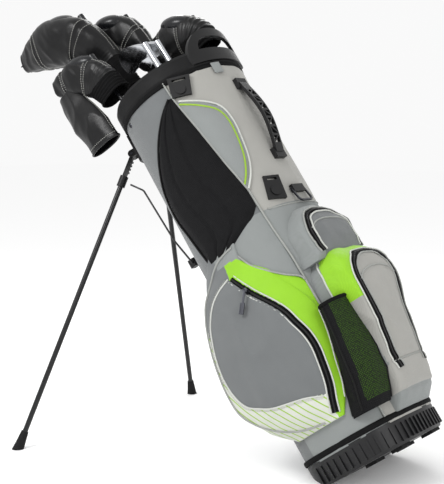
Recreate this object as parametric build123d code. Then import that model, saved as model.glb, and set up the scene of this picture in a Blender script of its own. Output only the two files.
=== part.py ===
from build123d import *
import os
import math

os.makedirs("parts", exist_ok=True)

# ---------------------------------------------------------------- dimensions
# Everything is drawn upright in the bag's own frame (x = front, y = side,
# z = along the bag) and then laid back on its stand. Millimetres.
LEAN = 35.0              # angle of the bag to the vertical when it stands on its legs
BASE_A, BASE_B, BASE_P = 115.0, 134.0, 2.8    # body section at the base: half depth, half width, squareness
TOP_A, TOP_B, TOP_P = 134.0, 138.0, 2.0       # body section at the cuff
S_BASE = 46.0            # height of the moulded base
S_TOP = 835.0            # lower edge of the cuff
S_RIM = 872.0            # mouth of the bag
WALL = 3.0               # stayed fabric wall
HEEL = 58.0              # depth of the sloped heel in the base
HINGE_F, HINGE_Y, HINGE_S = -146.0, 50.0, 800.0   # leg hinge eye
FOOT_X, FOOT_Y = 640.0, 295.0                 # feet on the ground, from the heel's front edge
LEG_R = 5.5              # leg tube radius
ROD_R = 2.0              # spreader rod radius
YOKE_S = 522.0           # spreader yoke, legs open
GRIP_L = 268.0           # grip length
SHAFT_R0, SHAFT_R1 = 7.2, 4.7
LIE = 60.0               # angle between the shaft and the sole line
# club: length, butt point (f, y, s), point where the shaft crosses the mouth (f, y)
CLUBS = {
    "driver": (1168.0, (40.0, 0.0, 13.0), (-86.0, 0.0)),
    "fairway_wood": (1118.0, (30.0, 58.0, 13.0), (-46.0, 65.0)),
    "hybrid": (1016.0, (36.0, -62.0, 13.0), (-72.0, -89.0)),
    "utility_wood": (985.0, (88.0, 40.0, 13.0), (88.0, 50.0)),
    "five_iron": (955.0, (78.0, -60.0, 13.0), (26.0, -57.0)),
    "seven_iron": (962.0, (84.0, -18.0, 13.0), (30.0, -14.0)),
}

th = math.radians(LEAN)
FV = (math.cos(th), 0.0, math.sin(th))
NV = (-math.sin(th), 0.0, math.cos(th))
HEEL_LEN = HEEL / math.cos(th)
# origin of the bag frame in the row frame; the row's origin is the centre of the heel face
OX = (BASE_A - HEEL) * FV[0] + HEEL_LEN / 2
OZ = (BASE_A - HEEL) * FV[2]
BAG = Plane(origin=(OX, 0, OZ), x_dir=FV, z_dir=NV)


def world(f, y, s):
    return (OX + f * FV[0] + s * NV[0], y, OZ + f * FV[2] + s * NV[2])


def local(x, y, z):
    dx, dz = x - OX, z - OZ
    return (dx * FV[0] + dz * FV[2], y, dx * NV[0] + dz * NV[2])


parts = {}


def put(name, shape):
    """Lay a piece drawn in the bag frame back on the stand and keep it."""
    solids = shape.solids() if hasattr(shape, "solids") else list(shape)
    solids = [s for s in solids if s.volume > 2.0]
    out = solids[0] if len(solids) == 1 else Compound(children=solids)
    parts[name] = out.moved(BAG.location)


# ---------------------------------------------------------------- body section
def sect(s):
    t = (s - S_BASE) / (S_TOP - S_BASE)
    q = min(max(t, 0.0), 1.0)
    return BASE_A + (TOP_A - BASE_A) * t, BASE_B + (TOP_B - BASE_B) * t, BASE_P + (TOP_P - BASE_P) * q


def sgn(v, p):
    return math.copysign(abs(v) ** p, v)


def ring_pts(s, off=0.0, n=16, z=None, abp=None):
    a, b, p = abp if abp else sect(s)
    a, b = a + off, b + off
    return [
        Vector(a * sgn(math.cos(2 * math.pi * i / n), 2 / p), b * sgn(math.sin(2 * math.pi * i / n), 2 / p), s if z is None else z)
        for i in range(n)
    ]


def ring(s, off=0.0, z=None, abp=None):
    return Wire([Edge.make_spline(ring_pts(s, off, 16, z, abp), periodic=True)])


def body(s0, s1, off=0.0, n=2):
    hs = [s0 + (s1 - s0) * i / (n - 1) for i in range(n)]
    return Solid.make_loft([ring(h, off) for h in hs], True)


def on_wall(deg, s, off=0.0):
    """Point on the body's wall in the direction deg from the front."""
    a, b, p = sect(s)
    a, b = a + off, b + off
    c, d = math.cos(math.radians(deg)), math.sin(math.radians(deg))
    k = (abs(c / a) ** p + abs(d / b) ** p) ** (-1 / p)
    return (k * c, k * d, s)


def poly_loft(secs):
    """Ruled loft through closed polygons given as (s, [(f, y), ...])."""
    return Solid.make_loft([Wire.make_polygon([Vector(f, y, s) for f, y in pts], close=True) for s, pts in secs], True)


def rod(p, q, r):
    v = Vector(*q) - Vector(*p)
    return Solid.make_cylinder(r, v.length, Plane(origin=p, z_dir=v))


def cone(p, q, r0, r1):
    v = Vector(*q) - Vector(*p)
    return Solid.make_cone(r0, r1, v.length, Plane(origin=p, z_dir=v))


def box(cx, cy, cz, dx, dy, dz):
    return Solid.make_box(dx, dy, dz, Plane(origin=(cx - dx / 2, cy - dy / 2, cz - dz / 2)))


# half space below the ground, and one lifted by a wall's thickness, in the bag frame
def below(gap):
    gx = Vector(*local(1, 0, 0)) - Vector(*local(0, 0, 0))
    gz = Vector(*local(0, 0, 1)) - Vector(*local(0, 0, 0))
    o = Vector(*local(-800, -600, gap - 300))
    return Solid.make_box(1600, 1200, 300, Plane(origin=o, x_dir=gx, z_dir=gz))


bag_full = body(46.0, 835.0)

# ---------------------------------------------------------------- bag body
put("bag_tube", bag_full - body(S_BASE, S_TOP, -WALL))

# moulded base: a cup with vertical ribs and a sloped heel that lies on the ground
cup = Solid.make_loft([ring(S_BASE, 0.0, 0.0, (BASE_A - 3, BASE_B - 3, BASE_P)), ring(S_BASE, 0.0, 6.0, (BASE_A, BASE_B, BASE_P)), ring(S_BASE, 0.0, S_BASE, (BASE_A + 2, BASE_B + 2, BASE_P))], True)
cup -= below(0.0)
hollow = Solid.extrude(Face(ring(S_BASE, 0.0, 6.0, (BASE_A - 5, BASE_B - 5, BASE_P))), Vector(0, 0, 60))
hollow -= below(5.0)
ribs = []
for i in range(36):
    deg = -115 + i * 230 / 35
    a, b, p = BASE_A + 0.8, BASE_B + 0.8, BASE_P
    c, d = math.cos(math.radians(deg)), math.sin(math.radians(deg))
    k = (abs(c / a) ** p + abs(d / b) ** p) ** (-1 / p)
    nx, ny = abs(c * k / a) ** (p - 1) / a * (1 if c > 0 else -1), abs(d * k / b) ** (p - 1) / b * (1 if d > 0 else -1)
    L = math.hypot(nx, ny)
    ribs.append(Solid.make_box(5.0, 4.0, 32.0, Plane(origin=(k * c, k * d, 5.0), x_dir=(nx / L, ny / L, 0), z_dir=(0, 0, 1)).move(Location((0, 0, 0)))).moved(Location((-2.0 * nx / L + 2.0 * ny / L, -2.0 * ny / L - 2.0 * nx / L, 0))))
cup = cup.fuse(*ribs)
cup = cup - hollow - below(0.0)
put("base_cup", cup)

# rubber pads under the raised front of the base
pads = [box(x, y, -3.0, 26, 34, 6.0) for x in (20.0, 84.0) for y in (-62.0, 62.0)]
put("base_pads", Compound(children=pads))

# cuff, grab handle and dividers
cuff_o = Solid.make_loft([ring(S_TOP, 2.0), ring(S_TOP + 6, 5.0), ring(S_RIM - 7, 5.0), ring(S_RIM, 1.0)], True)
cuff_i = Solid.make_loft([ring(S_TOP, -WALL, S_TOP - 1), ring(S_TOP, -6.0, S_TOP + 8), ring(S_RIM, -6.0, S_RIM - 8), ring(S_RIM, -3.0, S_RIM + 1)], True)
put("top_cuff", cuff_o - cuff_i)

def handle_strip(r_in, r_out, s_lo, s_hi):
    """Band that follows the mouth's curve between two offsets and two heights."""
    o = Solid.extrude(Face(ring(S_RIM, r_out, s_lo)), Vector(0, 0, s_hi - s_lo))
    i = Solid.extrude(Face(ring(S_RIM, r_in, s_lo - 1)), Vector(0, 0, s_hi - s_lo + 2))
    return o - i


# the arch: a band standing on the rim, cut to an arched window and an arched top
band = handle_strip(2.0, 9.0, S_TOP + 4, 918.0)
arch_out = Solid.extrude(Face(Wire([Edge.make_spline([Vector(0, -84, S_TOP + 3), Vector(0, -80, 880), Vector(0, -58, 905), Vector(0, 0, 917), Vector(0, 58, 905), Vector(0, 80, 880), Vector(0, 84, S_TOP + 3)]), Edge.make_line(Vector(0, 84, S_TOP + 3), Vector(0, -84, S_TOP + 3))])), Vector(220, 0, 0))
arch_in = Solid.extrude(Face(Wire([Edge.make_spline([Vector(0, -62, S_RIM - 4), Vector(0, -56, 884), Vector(0, 0, 897), Vector(0, 56, 884), Vector(0, 62, S_RIM - 4)]), Edge.make_line(Vector(0, 62, S_RIM - 4), Vector(0, -62, S_RIM - 4))])), Vector(220, 0, 0))
gh = (band & arch_out) - arch_in - cuff_o
put("grab_handle", gh)

inner_top = body(800.0, 866.0, -6.3, 2)
div = box(56.0, 0, 834, 4, 280, 60).fuse(box(-12.0, 0, 834, 4, 280, 60), box(22.0, 14.0, 834, 66, 4, 60), box(-75.0, 30.0, 834, 124, 4, 60))
put("club_divider", div & inner_top)

# leg bracket on the spine with two pairs of hinge ears
HDIR = {}
brk = (body(770.0, 834.5, 8.0, 2) & box(-150, 0, 802, 90, 132, 70)) - body(760.0, 842.0, 0.0, 3)
ears = []
pins = []
for sg in (-1, 1):
    # hinge axis lies in the section plane; legs swing out and down
    hx, hy, hs = HINGE_F, sg * HINGE_Y, HINGE_S
    fx, fy, fs = local(-FOOT_X + HEEL_LEN / 2, sg * FOOT_Y, 0)
    v = Vector(fx - hx, fy - hy, fs - hs)
    LEG_LEN = v.length
    d = v / LEG_LEN
    ax = Vector(0, 0, -1).cross(d).normalized()      # turning about ax by +angle opens the leg
    HDIR[sg] = (Vector(hx, hy, hs), d, ax)
    for k in (-1, 1):
        c = Vector(hx, hy, hs) + ax * (k * 10.0)
        pl = Plane(origin=c - ax * 2.5, x_dir=(0, 0, 1), z_dir=ax)
        eye = Solid.make_cylinder(8.0, 5.0, pl)
        root = Vector(*on_wall(math.degrees(math.atan2(c.Y * 0.9, c.X)), HINGE_S, 3.0))
        w = Vector(root.X - c.X, root.Y - c.Y, 0)
        n = w.normalized()
        bar = Solid.make_box(16, w.length + 2, 5.0, Plane(origin=c - ax * 2.5 - Vector(0, 0, 8), x_dir=(0, 0, 1), z_dir=ax))
        # the bar runs from the eye towards the wall
        yv = ax.cross(Vector(0, 0, 1))
        if yv.dot(n) < 0:
            bar = Solid.make_box(16, w.length + 2, 5.0, Plane(origin=c - ax * 2.5 - Vector(0, 0, 8) - yv * (w.length + 2), x_dir=(0, 0, 1), z_dir=ax))
        ears.append(eye)
        ears.append(bar)
    pin = Solid.make_cylinder(3.0, 27.0, Plane(origin=Vector(hx, hy, hs) - ax * 13.5, z_dir=ax))
    pins.append(pin)
brk = brk.fuse(*ears)
brk = brk - body(760.0, 842.0, 0.0, 3)
for sg in (-1, 1):
    h, d, ax = HDIR[sg]
    brk = brk - Solid.make_cylinder(3.0, 40.0, Plane(origin=h - ax * 20, z_dir=ax))
put("leg_bracket", brk)
put("hinge_pins", Compound(children=pins))

# rivets that hold the cuff's skirt to the body
riv = []
for deg in (-118, 118, 62):
    p = Vector(*on_wall(deg, 818.0, 0.0))
    n = Vector(math.cos(math.radians(deg)), math.sin(math.radians(deg)), 0)
    riv.append(Solid.make_cone(5.5, 4.0, 2.4, Plane(origin=p - n * 0.3, z_dir=n)) - bag_full)
put("cuff_rivets", Compound(children=riv))

# ---------------------------------------------------------------- legs
# strut: eye on the pin, toothed bar, collar; then tube and rubber foot
COLLAR = 60.0
for sg, side in ((-1, "right"), (1, "left")):
    h, d, ax = HDIR[sg]
    eye = Solid.make_cylinder(8.0, 14.6, Plane(origin=h - ax * 7.3, z_dir=ax))
    up = d.cross(ax)
    bar = Solid.make_box(10, 8, COLLAR - 4, Plane(origin=h - ax * 5 - up * 4 + d * 4, x_dir=ax, z_dir=d))
    teeth = [Solid.make_box(12.6, 3.0, 4.0, Plane(origin=h - ax * 6.3 + up * 3.0 + d * (14 + 8 * k), x_dir=ax, z_dir=d)) for k in range(4)]
    collar = Solid.make_cylinder(9.0, 24.0, Plane(origin=h + d * (COLLAR - 10), z_dir=d))
    strut = eye.fuse(bar, collar, *teeth) - Solid.make_cylinder(3.05, 40.0, Plane(origin=h - ax * 20, z_dir=ax)) - Solid.make_cylinder(LEG_R, 30.0, Plane(origin=h + d * (COLLAR - 4), z_dir=d))
    put("leg_%s_strut" % side, strut)
    put("leg_%s_tube" % side, Solid.make_cylinder(LEG_R, LEG_LEN - 22 - (COLLAR - 4), Plane(origin=h + d * (COLLAR - 4), z_dir=d)))
    boot = Solid.make_cone(7.5, 10.0, 26.0, Plane(origin=h + d * (LEG_LEN - 38), z_dir=d)).fuse(Solid.make_cone(10.0, 14.5, 34.0, Plane(origin=h + d * (LEG_LEN - 12), z_dir=d)))
    boot = boot - Solid.make_cylinder(LEG_R, 16.0, Plane(origin=h + d * (LEG_LEN - 38), z_dir=d)) - below(0.0)
    put("leg_%s_foot" % side, boot)

# ---------------------------------------------------------------- spreader
# a yoke slides on a track down the spine; one bent spring-steel rod runs from it to each leg's collar
track = (body(470.0, 556.0, 3.0, 2) & box(-130, 0, 513, 60, 30, 80)) - body(460.0, 566.0, 0.0, 2)
put("yoke_track", track)
yk = box(-127.5, 0, YOKE_S, 7.0, 128.0, 18.0).fuse(box(-133.0, -59, YOKE_S, 14.0, 14.0, 18.0), box(-133.0, 59, YOKE_S, 14.0, 14.0, 18.0)) - body(460.0, 600.0, 3.4, 2)
for sg in (-1, 1):
    yk = yk - Solid.make_cylinder(ROD_R + 0.3, 40.0, Plane(origin=(-134.0, sg * 59.0, YOKE_S), x_dir=(0, 0, 1), z_dir=HDIR[sg][2]).offset(-20))
put("spreader_yoke", yk)
for sg, side in ((-1, "right"), (1, "left")):
    h, d, ax = HDIR[sg]
    p0 = Vector(-134.0, sg * 59.0, YOKE_S)
    c0 = h + d * COLLAR
    p_end = c0 + Vector(11.0, -sg * 3.3, -17.5)
    elbow = Vector(-156.0, sg * 63.0, 716.0)
    # cross pin in the yoke, short riser beside it, then the long run and the elbow
    o = ax * sg
    path = FilletPolyline(p0 - o * 9.0, p0 + o * 13.0, Vector(-146.0, sg * 62.0, YOKE_S + 60) + o * 13.0, elbow, p_end, radius=[5.0, 40.0, 14.0])
    prof = Plane(origin=path @ 0, z_dir=path % 0) * Circle(ROD_R)
    put("spreader_rod_%s" % side, sweep(prof, path=path))

# ---------------------------------------------------------------- pockets
def cut(shape):
    r = shape - bag_full
    ss = [s for s in r.solids() if s.volume > 500.0]
    ss.sort(key=lambda s: -s.volume)
    return ss[0]


AP = [
    (95.0, [(-40, -90), (-60, -112), (-62, -132), (-40, -139), (0, -143), (34, -143), (56, -134), (40, -90)]),
    (140.0, [(-70, -75), (-96, -98), (-114, -130), (-88, -160), (-20, -172), (56, -156), (80, -122), (50, -80)]),
    (205.0, [(-75, -70), (-104, -94), (-138, -130), (-128, -172), (-40, -188), (69, -160), (96, -112), (60, -75)]),
    (275.0, [(-78, -70), (-106, -94), (-134, -130), (-121, -176), (-30, -188), (63, -158), (103, -104), (66, -75)]),
    (395.0, [(-80, -72), (-106, -96), (-112, -122), (-88, -162), (-45, -172), (11, -154), (64, -128), (40, -80)]),
    (448.0, [(-60, -90), (-82, -112), (-84, -126), (-60, -140), (-40, -145), (-18, -146), (24, -142), (10, -90)]),
    (486.0, [(-30, -110), (-42, -128), (-42, -137), (-26, -140), (-8, -142), (6, -142), (30, -139), (20, -110)]),
]
ap = cut(poly_loft(AP))
put("apparel_pocket_right", ap)
put("apparel_pocket_left", cut(ap.mirror(Plane.XZ) - body(60.0, 500.0, 0.05)))

# bottle pocket: an open-topped sleeve between the right apparel pocket and the ball pocket
BO = [
    (80.0, [(60, -60), (66, -127), (92, -132), (118, -118), (124, -92), (122, -72), (100, -40)]),
    (150.0, [(66, -60), (84, -121), (112, -138), (138, -122), (148, -96), (146, -68), (110, -40)]),
    (285.0, [(70, -60), (106, -106), (124, -128), (146, -118), (154, -96), (150, -66), (114, -40)]),
]
bo_out = poly_loft(BO)
t = 2.5


def shrink(pts, g):
    cx = sum(p[0] for p in pts) / len(pts)
    cy = sum(p[1] for p in pts) / len(pts)
    out = []
    n = len(pts)
    for i in range(n):
        x0, y0 = pts[i - 1]
        x1, y1 = pts[i]
        x2, y2 = pts[(i + 1) % n]
        e1 = (x1 - x0, y1 - y0)
        e2 = (x2 - x1, y2 - y1)
        l1, l2 = math.hypot(*e1), math.hypot(*e2)
        n1 = (e1[1] / l1, -e1[0] / l1)
        n2 = (e2[1] / l2, -e2[0] / l2)
        sgn1 = 1 if (n1[0] * (cx - x1) + n1[1] * (cy - y1)) > 0 else -1
        m = (n1[0] + n2[0], n1[1] + n2[1])
        k = g / (1 + n1[0] * n2[0] + n1[1] * n2[1])
        out.append((x1 + sgn1 * m[0] * k, y1 + sgn1 * m[1] * k))
    return out


bo_in = poly_loft([(86.0, shrink(BO[0][1], t)), (150.0, shrink(BO[1][1], t)), (300.0, shrink(BO[2][1], t))])
put("bottle_pocket", cut(bo_out - ap) - bo_in)

# ball pocket: deep pocket low on the front
def front(half, depth0, depth1, corner=18.0):
    return [(60, -half + 30), (depth0, -half), (depth1 - corner * 0.5, -half + 2), (depth1, -half + corner), (depth1 + 4, 0), (depth1, half - corner), (depth1 - corner * 0.5, half - 2), (depth0, half), (60, half - 30)]


BA = [
    (56.0, front(64, 100, 128)),
    (88.0, front(64, 100, 152)),
    (140.0, front(66, 100, 164)),
    (240.0, front(72, 100, 180)),
    (300.0, front(88, 96, 188)),
    (340.0, front(84, 96, 186)),
    (366.0, front(70, 100, 168)),
    (388.0, front(52, 108, 136)),
]
ball = poly_loft(BA)
put("ball_pocket", cut(ball) - bo_out)

# accessory pocket above it
AC = [
    (389.0, front(84, 100, 156)),
    (430.0, front(86, 100, 155)),
    (462.0, front(72, 106, 148)),
    (484.0, front(48, 112, 134)),
]
put("accessory_pocket", cut(poly_loft(AC)))

# valuables pocket: a lens-shaped soft pocket high on the right side
def patch(deg_lo, deg_hi, s_pts, thick):
    """Low pillow on the wall. s_pts = [(s, deg_a, deg_b, h)], angles from the front."""
    secs = []
    for s, a, b, h in s_pts:
        pts = []
        for i in range(7):
            u = i / 6
            deg = a + (b - a) * u
            off = h * math.sin(math.pi * min(max(u, 0.0), 1.0)) ** 0.5 if 0 < u < 1 else 0.3
            x, y, z = on_wall(deg, s, off)
            pts.append((x, y))
        x, y, z = on_wall(b, s, -12.0)
        pts.append((x, y))
        x, y, z = on_wall((a + b) / 2, s, -14.0)
        pts.append((x, y))
        x, y, z = on_wall(a, s, -12.0)
        pts.append((x, y))
        secs.append((s, pts))
    return poly_loft(secs)


VA = [(562.0, -46, -40, 1.5), (600.0, -50, -36, 7.0), (650.0, -54, -32, 11.0), (700.0, -57, -31, 11.0), (735.0, -60, -34, 8.0), (764.0, -62, -44, 4.0), (784.0, -63, -56, 1.2)]
put("valuables_pocket", cut(patch(0, 0, VA, 0)))

# ventilated hip pad: a long padded panel behind the valuables pocket
HP = [(452.0, -106, -100, 1.5), (490.0, -109, -80, 7.0), (545.0, -114, -60, 11.0), (600.0, -119, -57, 12.0), (650.0, -117, -60, 12.0), (700.0, -109, -63, 12.0), (740.0, -96, -66, 10.0), (776.0, -82, -67, 5.0), (796.0, -74, -68, 1.5)]
put("hip_pad", cut(patch(0, 0, HP, 0) - ap))

# ---------------------------------------------------------------- handle and strap fittings
# truss carry handle on the front: two moulded brackets and a lattice strap that bows off the wall
CH_LO, CH_HI = 612.0, 778.0
hx0 = on_wall(0, CH_LO)[0]
hx1 = on_wall(0, CH_HI)[0]
ch = []
for s in (CH_LO, CH_HI):
    x0 = on_wall(0, s)[0]
    ch.append(box(x0 + 4, 0, s, 16, 34, 22) - bag_full)
prof_pts = [(CH_LO, 10.0), (CH_LO + 25, 17.0), ((CH_LO + CH_HI) / 2, 26.0), (CH_HI - 25, 17.0), (CH_HI, 10.0)]


def strap_face(y0, y1, t0, t1):
    lo = [Vector(on_wall(0, s)[0] + h + t0, 0, s) for s, h in prof_pts]
    hi = [Vector(on_wall(0, s)[0] + h + t1, 0, s) for s, h in prof_pts]
    w = Wire([Edge.make_spline(lo), Edge.make_line(lo[-1], hi[-1]), Edge.make_spline(list(reversed(hi))), Edge.make_line(hi[0], lo[0])])
    f = Face(w)
    return Solid.extrude(f, Vector(0, y1 - y0, 0)).moved(Location((0, y0, 0)))


strap = strap_face(-13, 13, -4.0, 3.0)
win = []
nwin = 7
for k in range(nwin):
    s0 = CH_LO + 18 + k * (CH_HI - CH_LO - 36) / nwin
    s1 = s0 + (CH_HI - CH_LO - 36) / nwin - 5
    if k % 2 == 0:
        tri = [Vector(100, -9, s0), Vector(100, 9, s0), Vector(100, 9, s1)]
        tr2 = [Vector(100, -9, s0 + 5), Vector(100, 5, s1), Vector(100, -9, s1)]
    else:
        tri = [Vector(100, 9, s0), Vector(100, -9, s0), Vector(100, -9, s1)]
        tr2 = [Vector(100, 9, s0 + 5), Vector(100, -5, s1), Vector(100, 9, s1)]
    for tr in (tri, tr2):
        win.append(Solid.extrude(Face(Wire.make_polygon(tr, close=True)), Vector(80, 0, 0)))
for w_ in win:
    strap = strap - w_
put("carry_handle", strap.fuse(*ch) - bag_full)


def keystone(deg, s, w0, w1, h, t, tilt=0.0):
    """Moulded strap anchor: tapered plate with a round release disc and a strap slot."""
    x, y, z = on_wall(deg, s, 0.0)
    n = Vector(math.cos(math.radians(deg)), math.sin(math.radians(deg)), 0)
    tv = Vector(-n.Y, n.X, 0)
    zv = Vector(0, 0, 1)
    ct, st = math.cos(math.radians(tilt)), math.sin(math.radians(tilt))
    xd = tv * ct + zv * st
    pl = Plane(origin=Vector(x, y, z) - n * 2.0, x_dir=xd, z_dir=n)
    face = Face(Wire.make_polygon([pl.from_local_coords(Vector(-w0 / 2, -h / 2, 0)), pl.from_local_coords(Vector(w0 / 2, -h / 2, 0)), pl.from_local_coords(Vector(w1 / 2, h / 2, 0)), pl.from_local_coords(Vector(-w1 / 2, h / 2, 0))], close=True))
    b = Solid.extrude(face, n * (t + 2.0))
    b = b - bag_full
    disc = Solid.make_cylinder(10.5, 3.0, Plane(origin=pl.from_local_coords(Vector(0, -h * 0.16, t + 1.5)), z_dir=n))
    slot = Solid.make_box(w1 * 0.62, 5.0, t + 8, Plane(origin=pl.from_local_coords(Vector(-w1 * 0.31, h * 0.5 - 10, 3.5)), x_dir=xd, z_dir=n))
    return b.fuse(disc) - slot


put("strap_anchor_upper", keystone(-55.0, 809.0, 40, 46, 42, 9.0, -15.0))
put("strap_anchor_lower", keystone(-27.0, 541.0, 40, 34, 50, 9.0, -12.0))

# D ring for the strap on the front, hanging in its loop
rx = on_wall(0, 530.0)[0]
mount = box(rx + 4.0, 0, 530.0, 12, 40, 16) - bag_full
mount = mount - Solid.make_cylinder(2.06, 60, Plane(origin=(rx + 6.0, -30, 530.0), z_dir=(0, 1, 0)))
put("ring_mount", mount)
RP = (rx + 6.0, 0.0, 530.0)
# flat ring with two arms and a lower bar, on a round bar that turns in the mount
rdn = Vector(6.0, 0.0, -30.0).normalized()
rpl = Plane(origin=RP, x_dir=(0, 1, 0), z_dir=Vector(0, 1, 0).cross(rdn))
outer = [(-25, -2), (25, -2), (25, 24), (22, 30), (16, 33), (-16, 33), (-22, 30), (-25, 24)]
inner = [(-21, -8), (21, -8), (21, 23), (19, 27), (15, 29), (-15, 29), (-19, 27), (-21, 23)]


def ring_prism(pts, h):
    w = Wire.make_polygon([rpl.from_local_coords(Vector(px, py, -h / 2)) for px, py in pts], close=True)
    return Solid.extrude(Face(w), rpl.z_dir * h)


ring_s = ring_prism(outer, 3.4) - ring_prism(inner, 6.0)
ring_s = ring_s.fuse(Solid.make_cylinder(2.0, 46.0, Plane(origin=(rx + 6.0, -23, 530.0), z_dir=(0, 1, 0))))
put("strap_ring", ring_s)

# ---------------------------------------------------------------- zip slider of the right apparel pocket
za, zb = Vector(11.0, -154.0, 395.0), Vector(63.0, -158.0, 275.0)
zd = (zb - za).normalized()
face_dir = (Vector(-45.0, -172.0, 395.0) - za).normalized()
zn = face_dir.cross(zd).normalized()
if zn.Y > 0:
    zn = zn * -1
zc = za + zd * 14.0 + face_dir * 3.0
down = Vector(*local(0, 0, -1)) - Vector(*local(0, 0, 0))
down = (down - zn * down.dot(zn)).normalized()
yv = zn.cross(down)
base_o = zc + zn * 1.6
slider = Solid.make_box(13, 8, 4.0, Plane(origin=base_o, x_dir=zd, z_dir=zn).offset(0)).moved(Location(zd * -6.5 - zn.cross(zd) * 4.0))
pc = base_o + zn * 8.5
for k in (-4.4, 2.2):
    slider = slider.fuse(Solid.make_box(4.4, 2.2, 8.0, Plane(origin=base_o + zn * 2.6 + yv * k - down * 2.2, x_dir=down, z_dir=zn)))
slider = slider - Solid.make_cylinder(1.06, 20, Plane(origin=pc - yv * 10, z_dir=yv))
put("zip_slider", slider)
# the pull hangs straight down from the slider
pull = Solid.make_cylinder(1.0, 8.8, Plane(origin=pc - yv * 4.4, z_dir=yv))
plate = Solid.make_box(3.6, 2.0, 26.0, Plane(origin=pc - yv * 1.8 + zn * 1.0, x_dir=yv, z_dir=down))
loop = Solid.make_box(9.0, 2.4, 22.0, Plane(origin=pc - yv * 4.5 + zn * 1.2 + down * 24.0, x_dir=yv, z_dir=down))
hole = Solid.make_box(5.0, 6.0, 14.0, Plane(origin=pc - yv * 2.5 + zn * 3.0 + down * 28.0, x_dir=yv, z_dir=down))
put("zip_pull", pull.fuse(plate, loop - hole))

# ---------------------------------------------------------------- clubs
def club_plane(butt, mouth):
    b = Vector(*butt)
    m = Vector(mouth[0], mouth[1], S_RIM)
    z = (m - b).normalized()
    x = Vector(-1, 0, 0)
    x = (x - z * x.dot(z)).normalized()
    return Plane(origin=b, x_dir=x, z_dir=z)


def grip_and_shaft(L, hosel_in):
    top = L - hosel_in
    shaft = Solid.make_cone(SHAFT_R0, SHAFT_R1, top - 6.0, Plane(origin=(0, 0, 6.0)))
    grip = Solid.make_cylinder(14.0, 4.0, Plane(origin=(0, 0, 0))).fuse(Solid.make_cone(13.2, 9.4, GRIP_L - 4.0, Plane(origin=(0, 0, 4.0))))
    grip = grip - shaft
    return shaft, grip


def iron_head(L, toe_w, toe_h, heel_h, loft, hosel_l):
    """Cavity-back iron. Local frame: shaft along z, toe towards +x, face towards +y."""
    lie = math.radians(LIE)
    # sole line leaves the shaft axis at the heel point
    u = Vector(math.sin(lie), 0, math.cos(lie))           # heel to toe
    v = Vector(math.cos(lie), 0, -math.sin(lie))          # sole to top line, towards the grip
    heel = Vector(0, 0, L)
    w = Vector(0, 1, 0)
    cl, sl = math.cos(math.radians(loft)), math.sin(math.radians(loft))
    v2 = v * cl - w * sl
    w2 = w * cl + v * sl
    pl = Plane(origin=heel, x_dir=u, z_dir=w2)

    def P(a, b, c=0.0):
        # a along the sole, b up the face, c out of the face
        return heel + u * a + v2 * b + w2 * c

    outline = [P(2, 3), P(14, -1.0), P(36, -3.0), P(60, -1.0), P(toe_w - 6, 9), P(toe_w, 26), P(toe_w - 5, toe_h - 10), P(toe_w - 17, toe_h), P(toe_w - 30, toe_h - 4), P(24, heel_h + 3), P(8, heel_h - 2), P(0, 14)]
    face = Face(Wire([Edge.make_spline(outline, periodic=True)]))
    blade = Solid.extrude(face, w2 * 6.5)
    blade = blade.moved(Location(w2 * -2.0))
    # muscle: a thicker band along the sole
    sole = [P(6, 2), P(16, 0.0), P(38, -1.6), P(60, 1.0), P(toe_w - 9, 10), P(toe_w - 14, 17), P(40, 13), P(14, 13)]
    muscle = Solid.extrude(Face(Wire([Edge.make_spline(sole, periodic=True)])), w2 * -9.5)
    cav = [P(16, 14), P(40, 14), P(toe_w - 13, 20), P(toe_w - 11, 30), P(toe_w - 18, toe_h - 9), P(toe_w - 29, toe_h - 12), P(26, heel_h - 5)]
    cavity = Solid.extrude(Face(Wire([Edge.make_spline(cav, periodic=True)])), w2 * -6.0).moved(Location(w2 * 1.5))
    hosel = Solid.make_cone(6.6, 7.0, hosel_l, Plane(origin=(0, 0, L - hosel_l - 16)))
    neck = Solid.make_cone(7.0, 8.5, 20.0, Plane(origin=(0, 0, L - 16.5)))
    cut_sole = Solid.make_box(200, 200, 60, Plane(origin=P(-60, -64, -100), x_dir=u, z_dir=v2))
    head = blade.fuse(muscle, hosel) - cavity
    head = head.fuse(Solid.make_cone(7.0, 7.6, 17.5, Plane(origin=(0, 0, L - 17))))
    return max(head.solids(), key=lambda q: q.volume)


def wood_head(L, width, depth, height, hosel_l, back):
    """Hollow-bodied wood, as a plain rounded body. back = +1 or -1, the way the body runs behind the face."""
    lie = math.radians(LIE)
    u = Vector(math.sin(lie), 0, math.cos(lie))
    v = Vector(math.cos(lie), 0, -math.sin(lie))
    heel = Vector(0, 0, L)
    c = heel + u * (width / 2 - 12) + v * (height * 0.5) + Vector(0, back * (depth / 2 - 16), 0)
    ell = Solid.make_sphere(1.0, angle1=-90, angle2=90, angle3=360)
    ell = scale(ell, by=(width / 2, depth / 2, height * 0.62))
    pl = Plane(origin=c, x_dir=u, z_dir=v)
    ell = ell.moved(pl.location)
    flat = Solid.make_box(400, 400, 60, Plane(origin=heel - u * 200 - Vector(0, 200, 0) - v * 60, x_dir=u, z_dir=v))
    face_cut = Solid.make_box(400, 60, 400, Plane(origin=heel - u * 200 - v * 200 + Vector(0, -back * 20 - (60 if back > 0 else 0), 0), x_dir=u, z_dir=v))
    head = ell - flat - face_cut
    head = head.fuse(Solid.make_cone(6.5, 8.0, hosel_l, Plane(origin=(0, 0, L - hosel_l - 20))), Solid.make_cylinder(8.0, 18.0, Plane(origin=(0, 0, L - 22))))
    head = max(head.solids(), key=lambda q: q.volume)
    return head


def ell_wire(c, n, xd, a, b):
    pl = Plane(origin=c, x_dir=xd, z_dir=n)
    pts = [pl.from_local_coords(Vector(a * math.cos(2 * math.pi * i / 12), b * math.sin(2 * math.pi * i / 12), 0)) for i in range(12)]
    return Wire([Edge.make_spline(pts, periodic=True)])


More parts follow.
